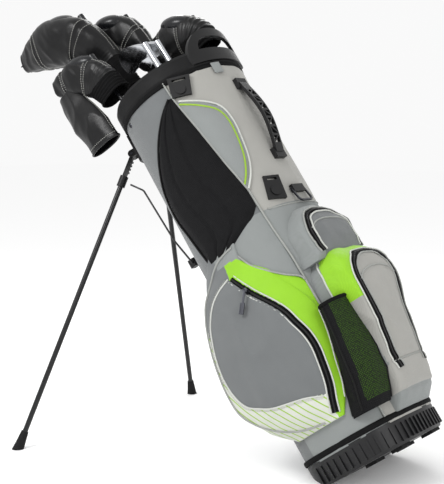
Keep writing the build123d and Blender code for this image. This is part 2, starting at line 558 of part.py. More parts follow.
def cover(L, secs, skin=4.0, full=False):
    """Soft sock over the head. secs: (x, y, z from the sole, tilt of the section in degrees, half width, half depth)."""
    def wires(g, grow):
        out = []
        for k, (x, y, z, tilt, a, b) in enumerate(secs):
            t_ = math.radians(tilt)
            n = Vector(math.sin(t_), 0, math.cos(t_))
            xd = Vector(math.cos(t_), 0, -math.sin(t_))
            c = Vector(x, y, L + z)
            if grow and k == 0:
                c = c - n * 2.0
            if grow and k == len(secs) - 1:
                c = c - n * skin
            out.append(ell_wire(c, n, xd, a - g, b - g))
        return out
    outer = Solid.make_loft(wires(0.0, False), False)
    if full:
        return outer
    inner = Solid.make_loft(wires(skin, True), False)
    return outer - inner


COVERS = {
    # neck ... head ... toe end
    "driver": [(0, 0, -236, 0, 25, 24), (0, 0, -150, 0, 25, 24), (10, 0, -96, 12, 40, 34), (30, 0, -54, 42, 52, 42), (72, 0, -20, 66, 56, 43), (122, 0, 6, 72, 50, 40), (156, 0, 18, 74, 34, 24)],
    "fairway_wood": [(0, 0, -190, 0, 25, 24), (0, 0, -112, 0, 26, 24), (12, 0, -66, 16, 36, 31), (34, 0, -34, 50, 45, 36), (76, 0, -8, 68, 45, 37), (124, 0, 12, 74, 26, 22)],
    "hybrid": [(6, 0, -112, 0, 36, 23), (12, 0, -78, 6, 40, 24), (26, 0, -44, 36, 41, 24), (60, 0, -16, 66, 38, 24), (112, 0, 6, 76, 20, 15)],
    "utility_wood": [(0, 0, -84, 0, 28, 25), (4, 0, -62, 20, 38, 30), (22, 0, -38, 56, 44, 33), (60, 0, -20, 76, 42, 34), (104, 0, -8, 80, 28, 22)],
}
for name, (L, butt, mouth) in CLUBS.items():
    cp = club_plane(butt, mouth)
    wood = name in COVERS
    sh, gr = grip_and_shaft(L, 66.0 if wood else 72.0)
    if name == "driver":
        hd = wood_head(L, 108, 76, 52, 46, 1)
    elif name == "fairway_wood":
        hd = wood_head(L, 84, 62, 34, 46, 1)
    elif name == "hybrid":
        hd = wood_head(L, 80, 40, 30, 46, 1)
    elif name == "utility_wood":
        hd = wood_head(L, 82, 54, 32, 46, 1)
    elif name == "five_iron":
        hd = iron_head(L, 80, 56, 30, 27, 56)
    else:
        hd = iron_head(L, 80, 58, 30, 34, 56)
    put(name + "_shaft", sh.moved(cp.location))
    put(name + "_grip", gr.moved(cp.location))
    put(name + "_head", hd.moved(cp.location))
    if wood:
        dy = {"driver": 24.0, "fairway_wood": 2.0, "hybrid": 4.0, "utility_wood": 4.0}[name]
        secs = [(x, y + dy * min(1.0, max(0.0, (k - 1) / 2.0)), z, tl, a, b) for k, (x, y, z, tl, a, b) in enumerate(COVERS[name])]
        put(name + "_cover", cover(L, secs).moved(cp.location))
        if name == "hybrid":
            # limp sleeve that hangs from the cover, outside the bag, with its end open
            SL = [(824.0, -146.0, -118.0, 42.0, 17.0), (890.0, -160.0, -113.0, 43.0, 17.0), (945.0, -177.0, -107.0, 40.0, 15.0), (985.0, -188.0, -103.0, 30.0, 12.0)]

            def sl(g, lo, hi):
                ws = []
                for s, f, y, a, b in SL:
                    s2 = min(max(s, lo), hi)
                    ws.append(Wire.make_polygon([Vector(f + (a - g) * math.cos(2 * math.pi * i / 20), y + (b - g) * math.sin(2 * math.pi * i / 20), s2) for i in range(20)], close=True))
                return Solid.make_loft(ws, True)

            sleeve = sl(0.0, 0.0, 985.0) - cover(L, secs, full=True).moved(cp.location)
            sleeve = max(sleeve.solids(), key=lambda q: q.volume)
            bore = Solid.make_loft([Wire.make_polygon([Vector(f + (a - 3) * math.cos(2 * math.pi * i / 20), y + (b - 3) * math.sin(2 * math.pi * i / 20), s) for i in range(20)], close=True) for s, f, y, a, b in ((822.0, -146.0, -118.0, 42.0, 17.0), (890.0, -160.0, -113.0, 43.0, 17.0), (925.0, -171.0, -109.4, 41.0, 15.6))], True)
            put("hybrid_cover_sleeve", max((sleeve - bore).solids(), key=lambda q: q.volume))

for name, shape in parts.items():
    export_step(shape, "parts/%s.step" % name)
print(len(parts), "nodes; leg length", round(LEG_LEN, 1))
for sg in (-1, 1):
    h, d, ax = HDIR[sg]
    print("hinge", sg, world(h.X, h.Y, h.Z), "axis f,y,s", ax, "open angle", round(math.degrees(math.acos(-d.Z)), 2))
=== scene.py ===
import bpy
import math
import numpy as np
from mathutils import Matrix, Vector
from mathutils.bvhtree import BVHTree


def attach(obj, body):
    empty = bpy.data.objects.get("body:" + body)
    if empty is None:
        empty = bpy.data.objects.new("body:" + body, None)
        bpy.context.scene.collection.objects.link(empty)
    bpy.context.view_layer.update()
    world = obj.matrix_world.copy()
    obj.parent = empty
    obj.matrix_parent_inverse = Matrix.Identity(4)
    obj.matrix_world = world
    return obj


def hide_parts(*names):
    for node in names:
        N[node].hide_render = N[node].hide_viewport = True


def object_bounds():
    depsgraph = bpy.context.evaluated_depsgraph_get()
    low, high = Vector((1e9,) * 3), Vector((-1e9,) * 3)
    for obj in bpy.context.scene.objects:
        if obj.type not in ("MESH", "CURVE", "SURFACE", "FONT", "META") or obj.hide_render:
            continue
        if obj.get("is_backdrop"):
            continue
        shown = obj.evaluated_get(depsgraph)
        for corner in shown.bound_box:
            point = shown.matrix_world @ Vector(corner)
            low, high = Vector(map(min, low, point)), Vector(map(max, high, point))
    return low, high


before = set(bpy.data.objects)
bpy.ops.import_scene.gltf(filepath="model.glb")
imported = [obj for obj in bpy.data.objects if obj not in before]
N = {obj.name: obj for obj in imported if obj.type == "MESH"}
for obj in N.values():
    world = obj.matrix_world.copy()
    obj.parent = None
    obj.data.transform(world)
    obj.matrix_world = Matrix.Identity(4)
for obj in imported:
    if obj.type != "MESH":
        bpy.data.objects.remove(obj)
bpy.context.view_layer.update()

# ------------------------------------------------------------ the bag's own frame (mm) to the row frame (m)
TH = math.radians(35.0)
FV = np.array([math.cos(TH), 0.0, math.sin(TH)])
NV = np.array([-math.sin(TH), 0.0, math.cos(TH)])
O = np.array([57.0 * math.cos(TH) + 58.0 / math.cos(TH) / 2, 0.0, 57.0 * math.sin(TH)])
YV = np.array([0.0, 1.0, 0.0])


def W(P):
    P = np.asarray(P, float)
    return (O + P[..., 0:1] * FV + P[..., 1:2] * YV + P[..., 2:3] * NV) * 1e-3


def sect(s):
    t = (np.asarray(s, float) - 46.0) / 789.0
    q = np.clip(t, 0, 1)
    return 115.0 + 19.0 * t, 134.0 + 4.0 * t, 2.8 - 0.8 * q


def wall(deg, s, off=0.0):
    deg, s = np.broadcast_arrays(np.asarray(deg, float), np.asarray(s, float))
    a, b, p = sect(s)
    a, b = a + off, b + off
    c, d = np.cos(np.radians(deg)), np.sin(np.radians(deg))
    k = (np.abs(c / a) ** p + np.abs(d / b) ** p) ** (-1 / p)
    return np.stack([k * c, k * d, s], -1)


def herm(xs, Y, x):
    xs, Y = np.asarray(xs, float), np.asarray(Y, float)
    x = np.clip(np.atleast_1d(np.asarray(x, float)), xs[0], xs[-1])
    sh = Y.shape
    Y = Y.reshape(len(xs), -1)
    h = np.diff(xs)
    d = np.diff(Y, axis=0) / h[:, None]
    m = np.zeros_like(Y)
    m[0], m[-1] = d[0], d[-1]
    for i in range(1, len(xs) - 1):
        w1, w2 = 2 * h[i] + h[i - 1], h[i] + 2 * h[i - 1]
        a, b = d[i - 1], d[i]
        with np.errstate(all="ignore"):
            mm = (w1 + w2) / (w1 / a + w2 / b)
        m[i] = np.where(a * b > 0, mm, 0)
    k = np.clip(np.searchsorted(xs, x, side="right") - 1, 0, len(xs) - 2)
    t, hk = ((x - xs[k]) / h[k])[:, None], h[k][:, None]
    r = (2 * t**3 - 3 * t**2 + 1) * Y[k] + (t**3 - 2 * t**2 + t) * hk * m[k] + (-2 * t**3 + 3 * t**2) * Y[k + 1] + (t**3 - t**2) * hk * m[k + 1]
    return r.reshape((len(x),) + sh[1:])


def curve(pts, n):
    """Smooth open curve through points, n samples evenly along it."""
    pts = np.asarray(pts, float)
    P = np.vstack([2 * pts[0] - pts[1], pts, 2 * pts[-1] - pts[-2]])
    out = []
    for i in range(1, len(P) - 2):
        a, b, c, d = P[i - 1], P[i], P[i + 1], P[i + 2]
        for k in range(24):
            t = k / 24
            out.append(0.5 * (2 * b + (c - a) * t + (2 * a - 5 * b + 4 * c - d) * t * t + (3 * b - a - 3 * c + d) * t**3))
    out.append(pts[-1])
    out = np.array(out)
    L = np.concatenate([[0], np.cumsum(np.linalg.norm(np.diff(out, axis=0), axis=1))])
    q = np.linspace(0, L[-1], n)
    return np.stack([np.interp(q, L, out[:, j]) for j in range(out.shape[1])], -1)


def vnoise(p, seed=0):
    i = np.floor(p).astype(np.int64)
    f = p - i
    f = f * f * (3 - 2 * f)

    def h(a, b, c):
        n = (a * 374761393 + b * 668265263 + c * 1442695041 + seed * 97463477) & 0x7FFFFFFF
        n = ((n ^ (n >> 13)) * 1274126177) & 0x7FFFFFFF
        return ((n ^ (n >> 16)) & 0xFFFF) / 32767.5 - 1

    x, y, z = i[..., 0], i[..., 1], i[..., 2]
    fx, fy, fz = f[..., 0], f[..., 1], f[..., 2]
    r = 0
    for dx in (0, 1):
        for dy in (0, 1):
            for dz in (0, 1):
                w = (fx if dx else 1 - fx) * (fy if dy else 1 - fy) * (fz if dz else 1 - fz)
                r = r + w * h(x + dx, y + dy, z + dz)
    return r


def noise(P, size, seed=0, octaves=2):
    r, a = 0, 1.0
    for k in range(octaves):
        r = r + a * vnoise(P / size * 2**k + 11.3 * k, seed + k)
        a *= 0.5
    return r


def wrinkle(P, size, seed=0):
    """Soft folds: valleys between crests."""
    return 1 - 2 * np.abs(noise(P, size, seed, 2))


# ------------------------------------------------------------ materials
def lin(c):
    return [((v / 255 + 0.055) / 1.055) ** 2.4 if v / 255 > 0.04045 else v / 255 / 12.92 for v in c]


MATS = {}


def mk(name, rgb, rough=0.6, metal=0.0, coord="UV", var=0.1, var_size=30.0, weave=None, weave_dark=0.25, grain=None, grain_h=0.15, grain_kind="noise", sheen=0.0, coat=0.0, spec=0.5, rvar=0.08, holes=None, hole_rgb=(0, 0, 0), stripes=None, stripe_rgb=(0, 0, 0), stripe_dir=(1, -1, 0), stripe_w=0.4, aniso=0.0, thread=None):
    m = bpy.data.materials.new(name)
    m.use_nodes = True
    nt = m.node_tree
    nt.nodes.clear()
    out = nt.nodes.new("ShaderNodeOutputMaterial")
    b = nt.nodes.new("ShaderNodeBsdfPrincipled")
    nt.links.new(b.outputs[0], out.inputs[0])
    tc = nt.nodes.new("ShaderNodeTexCoord")
    mp = nt.nodes.new("ShaderNodeMapping")
    mp.inputs["Scale"].default_value = (1000, 1000, 1000)
    nt.links.new(tc.outputs[coord], mp.inputs["Vector"])
    vec = mp.outputs[0]

    def math_(op, a, c=None, clamp=False):
        n = nt.nodes.new("ShaderNodeMath")
        n.operation = op
        n.use_clamp = clamp
        for i, v in enumerate((a, c)):
            if v is None:
                continue
            if isinstance(v, (int, float)):
                n.inputs[i].default_value = v
            else:
                nt.links.new(v, n.inputs[i])
        return n.outputs[0]

    def noise_(size, detail=3.0):
        n = nt.nodes.new("ShaderNodeTexNoise")
        n.inputs["Scale"].default_value = 1.0 / size
        n.inputs["Detail"].default_value = detail
        nt.links.new(vec, n.inputs["Vector"])
        return n.outputs["Fac"]

    def mix_(f, a, c):
        n = nt.nodes.new("ShaderNodeMix")
        n.data_type = "RGBA"
        ins = [i for i in n.inputs if i.type == "RGBA"]
        fi = [i for i in n.inputs if i.type == "VALUE"][0]
        if isinstance(f, (int, float)):
            fi.default_value = f
        else:
            nt.links.new(f, fi)
        for s, v in zip(ins, (a, c)):
            if isinstance(v, (list, tuple)):
                s.default_value = (*v[:3], 1)
            else:
                nt.links.new(v, s)
        return [o for o in n.outputs if o.type == "RGBA"][0]

    base = lin(rgb)
    lo = [v * (1 - var) for v in base]
    hi = [min(1, v * (1 + var) + 0.002) for v in base]
    big = noise_(var_size)
    col = mix_(big, lo, hi)
    hs = []
    if stripes:
        sx = nt.nodes.new("ShaderNodeVectorMath")
        sx.operation = "DOT_PRODUCT"
        nt.links.new(vec, sx.inputs[0])
        L = math.sqrt(sum(v * v for v in stripe_dir))
        sx.inputs[1].default_value = tuple(v / L for v in stripe_dir)
        fr = math_("FRACT", math_("DIVIDE", sx.outputs["Value"], stripes))
        ed = math_("LESS_THAN", fr, stripe_w)
        col = mix_(ed, col, lin(stripe_rgb))
    if weave:
        ws = []
        for d in ("X", "Y"):
            w = nt.nodes.new("ShaderNodeTexWave")
            w.wave_type = "BANDS"
            w.bands_direction = d
            w.inputs["Scale"].default_value = 0.314159 / weave
            w.inputs["Distortion"].default_value = 0.35
            nt.links.new(vec, w.inputs["Vector"])
            ws.append(w.outputs["Fac"])
        wv = math_("MULTIPLY", ws[0], ws[1])
        hs.append((wv, weave * 0.18))
        col = mix_(math_("MULTIPLY", math_("SUBTRACT", 1.0, wv), weave_dark), col, [v * 0.45 for v in base])
    if thread:
        w = nt.nodes.new("ShaderNodeTexWave")
        w.wave_type = "BANDS"
        w.bands_direction = "X"
        w.inputs["Scale"].default_value = 0.314159 / thread
        nt.links.new(vec, w.inputs["Vector"])
        hs.append((w.outputs["Fac"], thread * 0.3))
        col = mix_(math_("MULTIPLY", math_("SUBTRACT", 1.0, w.outputs["Fac"]), 0.5), col, [v * 0.3 for v in base])
    if holes:
        v = nt.nodes.new("ShaderNodeTexVoronoi")
        v.inputs["Scale"].default_value = 1.0 / holes
        v.inputs["Randomness"].default_value = 0.25
        nt.links.new(vec, v.inputs["Vector"])
        hole = math_("LESS_THAN", v.outputs["Distance"], 0.34)
        col = mix_(hole, col, lin(hole_rgb))
        hs.append((v.outputs["Distance"], holes * 0.35))
    if grain:
        if grain_kind == "cells":
            v = nt.nodes.new("ShaderNodeTexVoronoi")
            v.inputs["Scale"].default_value = 1.0 / grain
            nt.links.new(vec, v.inputs["Vector"])
            hs.append((math_("SUBTRACT", 1.0, v.outputs["Distance"]), grain_h))
        else:
            hs.append((noise_(grain, 4.0), grain_h))
    nrm = None
    for h, dist in hs:
        bp = nt.nodes.new("ShaderNodeBump")
        bp.inputs["Strength"].default_value = 0.8
        bp.inputs["Distance"].default_value = dist * 1e-3
        nt.links.new(h, bp.inputs["Height"])
        if nrm is not None:
            nt.links.new(nrm, bp.inputs["Normal"])
        nrm = bp.outputs[0]
    if nrm is not None:
        nt.links.new(nrm, b.inputs["Normal"])
    nt.links.new(col, b.inputs["Base Color"])
    r = math_("ADD", math_("MULTIPLY", noise_(var_size * 0.35), 2 * rvar), rough - rvar, True)
    nt.links.new(r, b.inputs["Roughness"])
    b.inputs["Metallic"].default_value = metal
    for k, v in (("Sheen Weight", sheen), ("Coat Weight", coat), ("Specular IOR Level", spec), ("Anisotropic", aniso)):
        if k in b.inputs:
            b.inputs[k].default_value = v
    if coat and "Coat Roughness" in b.inputs:
        b.inputs["Coat Roughness"].default_value = 0.25
    MATS[name] = m
    return m


mk("light_grey_cloth", (150, 149, 144), 0.74, weave=1.1, weave_dark=0.22, var=0.05, var_size=60, sheen=0.15, grain=6, grain_h=0.2)
mk("cool_grey_cloth", (101, 104, 105), 0.74, weave=1.1, weave_dark=0.3, var=0.07, var_size=60, sheen=0.15, grain=6, grain_h=0.2)
mk("mid_grey_cloth", (126, 130, 129), 0.72, weave=1.1, weave_dark=0.25, var=0.06, var_size=60, sheen=0.15, grain=6, grain_h=0.2)
mk("pale_hatched_cloth", (196, 198, 190), 0.7, weave=1.1, weave_dark=0.15, var=0.04, stripes=13.0, stripe_rgb=(140, 178, 40), stripe_w=0.2, stripe_dir=(1, 0.47, 0))
mk("lime_cloth", (134, 190, 2), 0.66, weave=1.3, weave_dark=0.22, var=0.07, var_size=50, sheen=0.1, grain=7, grain_h=0.3)
mk("black_cloth", (9, 9, 10), 0.85, weave=1.1, weave_dark=0.3, var=0.3, var_size=40, spec=0.15)
mk("lining", (13, 13, 15), 0.9, weave=1.4, weave_dark=0.3, var=0.2, spec=0.1)
mk("spacer_mesh", (13, 13, 15), 0.88, holes=3.4, hole_rgb=(2, 2, 3), var=0.3, var_size=24, rvar=0.06, spec=0.2)
# net: the dark lime in its holes is a painted see-through of the lime fabric behind the net, darkened as painted
# shade; the black threads are the net's own colour
mk("net", (8, 9, 8), 0.8, holes=3.0, hole_rgb=(48, 78, 12), var=0.35, var_size=22, rvar=0.08, spec=0.2)
mk("hatched_grey_cloth", (158, 160, 158), 0.6, weave=1.6, weave_dark=0.5, var=0.1, stripes=5.0, stripe_rgb=(112, 114, 114), stripe_w=0.45, stripe_dir=(1, 1.0, 0))
mk("white_piping", (206, 208, 202), 0.55, thread=2.4, var=0.04, grain=1.5, grain_h=0.08)
mk("grey_piping", (158, 160, 156), 0.55, thread=2.4, var=0.06, grain=1.5, grain_h=0.08)
mk("lime_piping", (150, 190, 40), 0.55, thread=2.4, var=0.06, grain=1.5, grain_h=0.08)
mk("black_piping", (9, 9, 10), 0.6, spec=0.2, thread=2.4, var=0.15, grain=1.5, grain_h=0.08)
mk("zip_tape", (7, 7, 8), 0.85, weave=1.0, weave_dark=0.3, var=0.2, spec=0.12)
mk("zip_teeth", (14, 14, 16), 0.4, thread=2.2, var=0.1, spec=0.35)
mk("thread_pale", (188, 188, 182), 0.6, thread=1.0, var=0.08)
mk("cover_leather", (5, 5, 6), 0.33, grain=1.7, grain_h=0.2, grain_kind="cells", var=0.35, var_size=22, rvar=0.1, spec=0.27)
mk("cover_knit", (8, 8, 9), 0.85, thread=3.2, var=0.25, spec=0.15)
mk("cuff_plastic", (9, 9, 10), 0.62, coord="Object", grain=0.9, grain_h=0.12, var=0.3, var_size=25, spec=0.2)
mk("black_plastic", (9, 9, 10), 0.45, coord="Object", grain=0.7, grain_h=0.08, var=0.3, var_size=25, spec=0.3)
mk("base_plastic", (13, 13, 15), 0.42, coord="Object", grain=0.8, grain_h=0.12, var=0.3, var_size=30, spec=0.35)
mk("rubber", (10, 10, 11), 0.82, coord="Object", grain=1.2, grain_h=0.18, var=0.2, var_size=14, spec=0.3)
mk("grip_rubber", (9, 9, 10), 0.75, coord="Object", grain=1.6, grain_h=0.3, grain_kind="cells", var=0.2, spec=0.3)
mk("leg_paint", (9, 9, 11), 0.3, coord="Object", grain=2.5, grain_h=0.02, var=0.2, var_size=40, spec=0.4)
mk("spring_steel", (16, 17, 19), 0.36, 0.3, coord="Object", grain=0.8, grain_h=0.02, var=0.15)
mk("chrome", (190, 192, 196), 0.13, 1.0, coord="Object", grain=6, grain_h=0.003, var=0.05, rvar=0.05)
mk("shaft_steel", (196, 199, 205), 0.16, 1.0, coord="Object", grain=5, grain_h=0.01, var=0.05, rvar=0.04)
mk("graphite", (14, 15, 18), 0.28, 0.1, coord="Object", grain=3, grain_h=0.02, var=0.3, spec=0.4)
mk("dark_metal", (60, 61, 66), 0.32, 0.9, coord="Object", grain=1, grain_h=0.03, var=0.12)

# ------------------------------------------------------------ mesh helpers (all in the bag's frame, mm)
TREES = {}


def raw_mesh(name, V, F, mats, body, uv=None, idx=None, smooth=True):
    me = bpy.data.meshes.new(name)
    me.from_pydata(W(V).tolist(), [], F)
    for m in mats:
        me.materials.append(MATS[m])
    if uv is not None:
        lay = me.uv_layers.new(name="cloth")
        li = np.zeros(len(me.loops), dtype=np.int32)
        me.loops.foreach_get("vertex_index", li)
        lay.data.foreach_set("uv", np.asarray(uv, float)[li].ravel() * 1e-3)
    if idx is not None:
        me.polygons.foreach_set("material_index", np.asarray(idx, dtype=np.int32))
    me.polygons.foreach_set("use_smooth", [smooth] * len(me.polygons))
    me.update()
    o = bpy.data.objects.new(name, me)
    bpy.context.scene.collection.objects.link(o)
    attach(o, body)
    return o


def gnormals(G, closed):
    du = np.roll(G, -1, 1) - np.roll(G, 1, 1) if closed else np.gradient(G, axis=1)
    dv = np.gradient(G, axis=0)
    n = np.cross(du, dv)
    n /= np.maximum(np.linalg.norm(n, axis=-1, keepdims=True), 1e-9)
    return n


def grid(name, G, closed, mats, body, matfn=None, uvfn=None, cap=(False, False), pad=None, slot=None, solid=0.0, flip=False):
    m, n = G.shape[:2]
    V = G.reshape(-1, 3)
    F = []
    cols = n if closed else n - 1
    for i in range(m - 1):
        r0, r1 = i * n, (i + 1) * n
        for j in range(cols):
            k = (j + 1) % n
            F.append((r0 + j, r0 + k, r1 + k, r1 + j))
    if flip:
        F = [f[::-1] for f in F]
    nf = len(F)
    V = V.copy()
    extra = []
    if closed:
        for e, row in ((0, 0), (1, m - 1)):
            if cap[e]:
                c = G[row].mean(0)
                ci = len(V) + len(extra)
                extra.append(c)
                for j in range(n):
                    k = (j + 1) % n
                    t = (row * n + k, row * n + j, ci) if e == 0 else (row * n + j, row * n + k, ci)
                    F.append(t[::-1] if flip else t)
    if extra:
        V = np.vstack([V, np.array(extra)])
    if uvfn is None:
        d = np.linalg.norm(np.diff(G[m // 2], axis=0), axis=1)
        u = np.concatenate([[0], np.cumsum(d)])
        dv = np.linalg.norm(np.diff(G[:, n // 2], axis=0), axis=1)
        v = np.concatenate([[0], np.cumsum(dv)])
        uv = np.stack(np.meshgrid(u, v), -1).reshape(-1, 2)
        if extra:
            uv = np.vstack([uv, np.zeros((len(extra), 2))])
    else:
        uv = uvfn(V)
    idx = None
    if matfn is not None:
        C = np.array([V[list(f)].mean(0) for f in F])
        idx = matfn(C)
    o = raw_mesh(name, V, F, mats, body, uv, idx, True)
    TREES[name] = BVHTree.FromPolygons([tuple(p) for p in V], F)
    if solid:
        md = o.modifiers.new("thick", "SOLIDIFY")
        md.thickness = solid * 1e-3
        md.offset = -1.0
        md.use_rim = True
    return o


def cast(name, P, D):
    """Where rays from P along D first meet a surface, and its normal there."""
    t = TREES[name]
    out, nrm = [], []
    for p, d in zip(P, D):
        h, n, _, _ = t.ray_cast(Vector(p), Vector(d))
        if h is None:
            continue
        n = np.array(n)
        if n @ np.asarray(d) > 0:
            n = -n
        out.append(np.array(h))
        nrm.append(n)
    return np.array(out), np.array(nrm)


def on(name, pts, way, n=160):
    """A smooth curve through (f, y, s) points, laid on a surface looking along way ("side": from -y, "front": from +f, "axis": towards the bag's axis)."""
    C = curve(pts, n)
    if way == "side":
        P = C.copy()
        P[:, 1] = -400
        D = np.tile([0.0, 1.0, 0.0], (n, 1))
    elif way == "left":
        P = C.copy()
        P[:, 1] = 400
        D = np.tile([0.0, -1.0, 0.0], (n, 1))
    elif way == "front":
        P = C.copy()
        P[:, 0] = 400
        D = np.tile([-1.0, 0.0, 0.0], (n, 1))
    else:
        A = C.copy()
        A[:, :2] = 0
        v = C - A
        v /= np.linalg.norm(v, axis=1, keepdims=True)
        P = A + v * 400
        D = -v
    return cast(name, P, D)


def tube(name, P, r, mats, body="bag", n=8, closed=False, nrm=None, flat=1.0, lift=0.0, bump=None):
    """A tube along P; flat squeezes it along nrm."""
    P = np.asarray(P, float)
    if closed:
        T = np.roll(P, -1, 0) - np.roll(P, 1, 0)
    else:
        T = np.gradient(P, axis=0)
    T /= np.maximum(np.linalg.norm(T, axis=1, keepdims=True), 1e-9)
    if nrm is None:
        a = np.array([0.0, 0.0, 1.0]) if abs(T[0][2]) < 0.9 else np.array([1.0, 0.0, 0.0])
        nn = [np.cross(T[0], a)]
        for i in range(1, len(P)):
            v = nn[-1] - T[i] * (nn[-1] @ T[i])
            nn.append(v / max(np.linalg.norm(v), 1e-9))
        nrm = np.array(nn)
    nrm = nrm - T * np.sum(nrm * T, axis=1, keepdims=True)
    nrm /= np.maximum(np.linalg.norm(nrm, axis=1, keepdims=True), 1e-9)
    B = np.cross(T, nrm)
    ang = np.linspace(0, 2 * math.pi, n, endpoint=False)
    R = np.full(len(P), r, float) if np.isscalar(r) else np.asarray(r, float)
    if bump is not None:
        R = R * bump
    G = (P + nrm * lift)[:, None, :] + (np.cos(ang)[None, :, None] * B[:, None, :] + flat * np.sin(ang)[None, :, None] * nrm[:, None, :]) * R[:, None, None]
    m = len(P)
    V = G.reshape(-1, 3)
    F = []
    for i in range(m if closed else m - 1):
        i2 = (i + 1) % m
        for j in range(n):
            k = (j + 1) % n
            F.append((i * n + j, i * n + k, i2 * n + k, i2 * n + j))
    if not closed:
        F.append(tuple(range(n))[::-1])
        F.append(tuple((m - 1) * n + j for j in range(n)))
    L = np.concatenate([[0], np.cumsum(np.linalg.norm(np.diff(P, axis=0), axis=1))])
    uv = np.stack(np.meshgrid(np.arange(n) * 2.0, L), -1)[..., ::-1].reshape(-1, 2)
    return raw_mesh(name, V, F, mats, body, uv, None, True)


def stitches(name, P, nrm, body="bag", pitch=5.0, length=3.2, r=0.45, lift=0.35, mat="thread_pale"):
    L = np.concatenate([[0], np.cumsum(np.linalg.norm(np.diff(P, axis=0), axis=1))])
    V, F, UV = [], [], []
    k = 0
    q = pitch
    while q + length < L[-1]:
        a = np.array([np.interp(q, L, P[:, j]) for j in range(3)])
        b = np.array([np.interp(q + length, L, P[:, j]) for j in range(3)])
        nn = np.array([np.interp(q, L, nrm[:, j]) for j in range(3)])
        nn /= max(np.linalg.norm(nn), 1e-9)
        t = (b - a) / max(np.linalg.norm(b - a), 1e-9)
        c = np.cross(t, nn)
        for h, w in ((0.0, 0.55), (0.25, 1.0), (0.75, 1.0), (1.0, 0.55)):
            p = a + (b - a) * h + nn * lift
            for x, z in ((-1, -0.6), (-0.7, 0.8), (0.7, 0.8), (1, -0.6)):
                V.append(p + (c * x + nn * z) * r * w)
                UV.append((h * length, x))
        for i in range(3):
            for j in range(4):
                j2 = (j + 1) % 4
                F.append((k + i * 4 + j, k + i * 4 + j2, k + (i + 1) * 4 + j2, k + (i + 1) * 4 + j))
        F.append((k + 3, k + 2, k + 1, k))
        F.append((k + 12, k + 13, k + 14, k + 15))
        k += 16
        q += pitch
    return raw_mesh(name, np.array(V), F, [mat], body, np.array(UV), None, True)


def zipper(name, P, nrm, width=11.0, body="bag", side=None):
    """Coil zip: flat tape with a raised row of teeth."""
    a = tube(name + "_tape", P, width / 2, ["zip_tape"], body, 10, False, nrm, 0.16, 0.4)
    L = np.concatenate([[0], np.cumsum(np.linalg.norm(np.diff(P, axis=0), axis=1))])
    q = np.arange(0, L[-1], 1.1)
    P2 = np.stack([np.interp(q, L, P[:, j]) for j in range(3)], -1)
    n2 = np.stack([np.interp(q, L, nrm[:, j]) for j in range(3)], -1)
    bump = np.where(np.arange(len(q)) % 2 == 0, 1.0, 0.72)
    b = tube(name + "_teeth", P2, 2.1, ["zip_teeth"], body, 6, False, n2, 0.6, 1.3, bump)
    return a, b


def offset_path(P, nrm, d):
    T = np.gradient(P, axis=0)
    T /= np.maximum(np.linalg.norm(T, axis=1, keepdims=True), 1e-9)
    B = np.cross(T, nrm)
    B /= np.maximum(np.linalg.norm(B, axis=1, keepdims=True), 1e-9)
    return P + B * d


def closed_poly(pts, per, ten):
    P = np.asarray(pts, float)
    n = len(P)
    out = []
    for i in range(n):
        a, b, c, d = P[i - 1], P[i], P[(i + 1) % n], P[(i + 2) % n]
        L = np.linalg.norm(c - b)
        t0, t1 = (c - a), (d - b)
        t0 = t0 / max(np.linalg.norm(t0), 1e-9) * L * ten[i]
        t1 = t1 / max(np.linalg.norm(t1), 1e-9) * L * ten[(i + 1) % n]
        for k in range(per):
            t = k / per
            out.append((2 * t**3 - 3 * t**2 + 1) * b + (t**3 - 2 * t**2 + t) * t0 + (-2 * t**3 + 3 * t**2) * c + (t**3 - t**2) * t1)
    return np.array(out)


def pocket(secs, per, ten, nv):
    ss = np.array([s for s, _ in secs], float)
    R = np.array([closed_poly(p, per, ten) for _, p in secs])
    q = np.linspace(ss[0], ss[-1], nv)
    G2 = herm(ss, R, q)
    return np.concatenate([G2, np.broadcast_to(q[:, None, None], G2.shape[:2] + (1,))], -1)


def poly_in(px, py, poly):
    poly = np.asarray(poly, float)
    inside = np.zeros(len(px), bool)
    j = len(poly) - 1
    for i in range(len(poly)):
        xi, yi, xj, yj = *poly[i], *poly[j]
        c = ((yi > py) != (yj > py)) & (px < (xj - xi) * (py - yi) / (yj - yi + 1e-12) + xi)
        inside ^= c
        j = i
    return inside


def smooth01(t):
    t = np.clip(t, 0, 1)
    return t * t * (3 - 2 * t)

# ------------------------------------------------------------ body panels
PS = [46, 309, 401, 467, 508, 556, 622, 705, 787, 840]
PD = [41.0, 42.5, 43.2, 45.7, 46.7, 47.6, 52.9, 58.3, 64.4, 66.4]


def diag(s):
    return np.interp(s, PS, PD)


qs = np.linspace(44.0, 840.0, 170)
u = np.linspace(-1, 1, 131)
A = diag(qs)[:, None] * u[None, :]
S = np.broadcast_to(qs[:, None], A.shape)
G = wall(A, S)
off = 2.4 - 1.6 * np.abs(u)[None, :] ** 10 + 1.0 * noise(G, 90.0, 3) + 0.9 * wrinkle(G * np.array([1.0, 1.0, 0.5]), 42.0, 7)
off -= 1.6 * np.exp(-(((S - 504) / 3.5) ** 2))
off *= smooth01((840 - S) / 14 + 0.3)
G = G + gnormals(G, False) * off[..., None]
grid("front_panel", G, False, ["light_grey_cloth", "lining", "mid_grey_cloth"], "bag", lambda C: np.where((C[:, 2] < 504) & (C[:, 2] > 100), 2, 0), slot="light_fabric", solid=2.6)
u = np.linspace(0, 1, 241)
A = diag(qs)[:, None] + (360 - 2 * diag(qs))[:, None] * u[None, :]
S = np.broadcast_to(qs[:, None], A.shape)
G = wall(A, S)
off = 2.0 - 1.3 * (np.abs(2 * u - 1)[None, :] ** 24) + 1.2 * noise(G, 80.0, 5) + 0.9 * wrinkle(G, 40.0, 9)
sp = np.exp(-(((A - 180) / 1.3) ** 2))
off -= 1.4 * sp
lie = smooth01((78 - np.abs(A - 180)) / 18)  # the folded rods lie close to the wall here
off = off * (1 - lie) + np.clip(0.2 + 0.12 * (off - 2.0), 0.08, 0.3) * lie
off *= smooth01((840 - S) / 14 + 0.3)
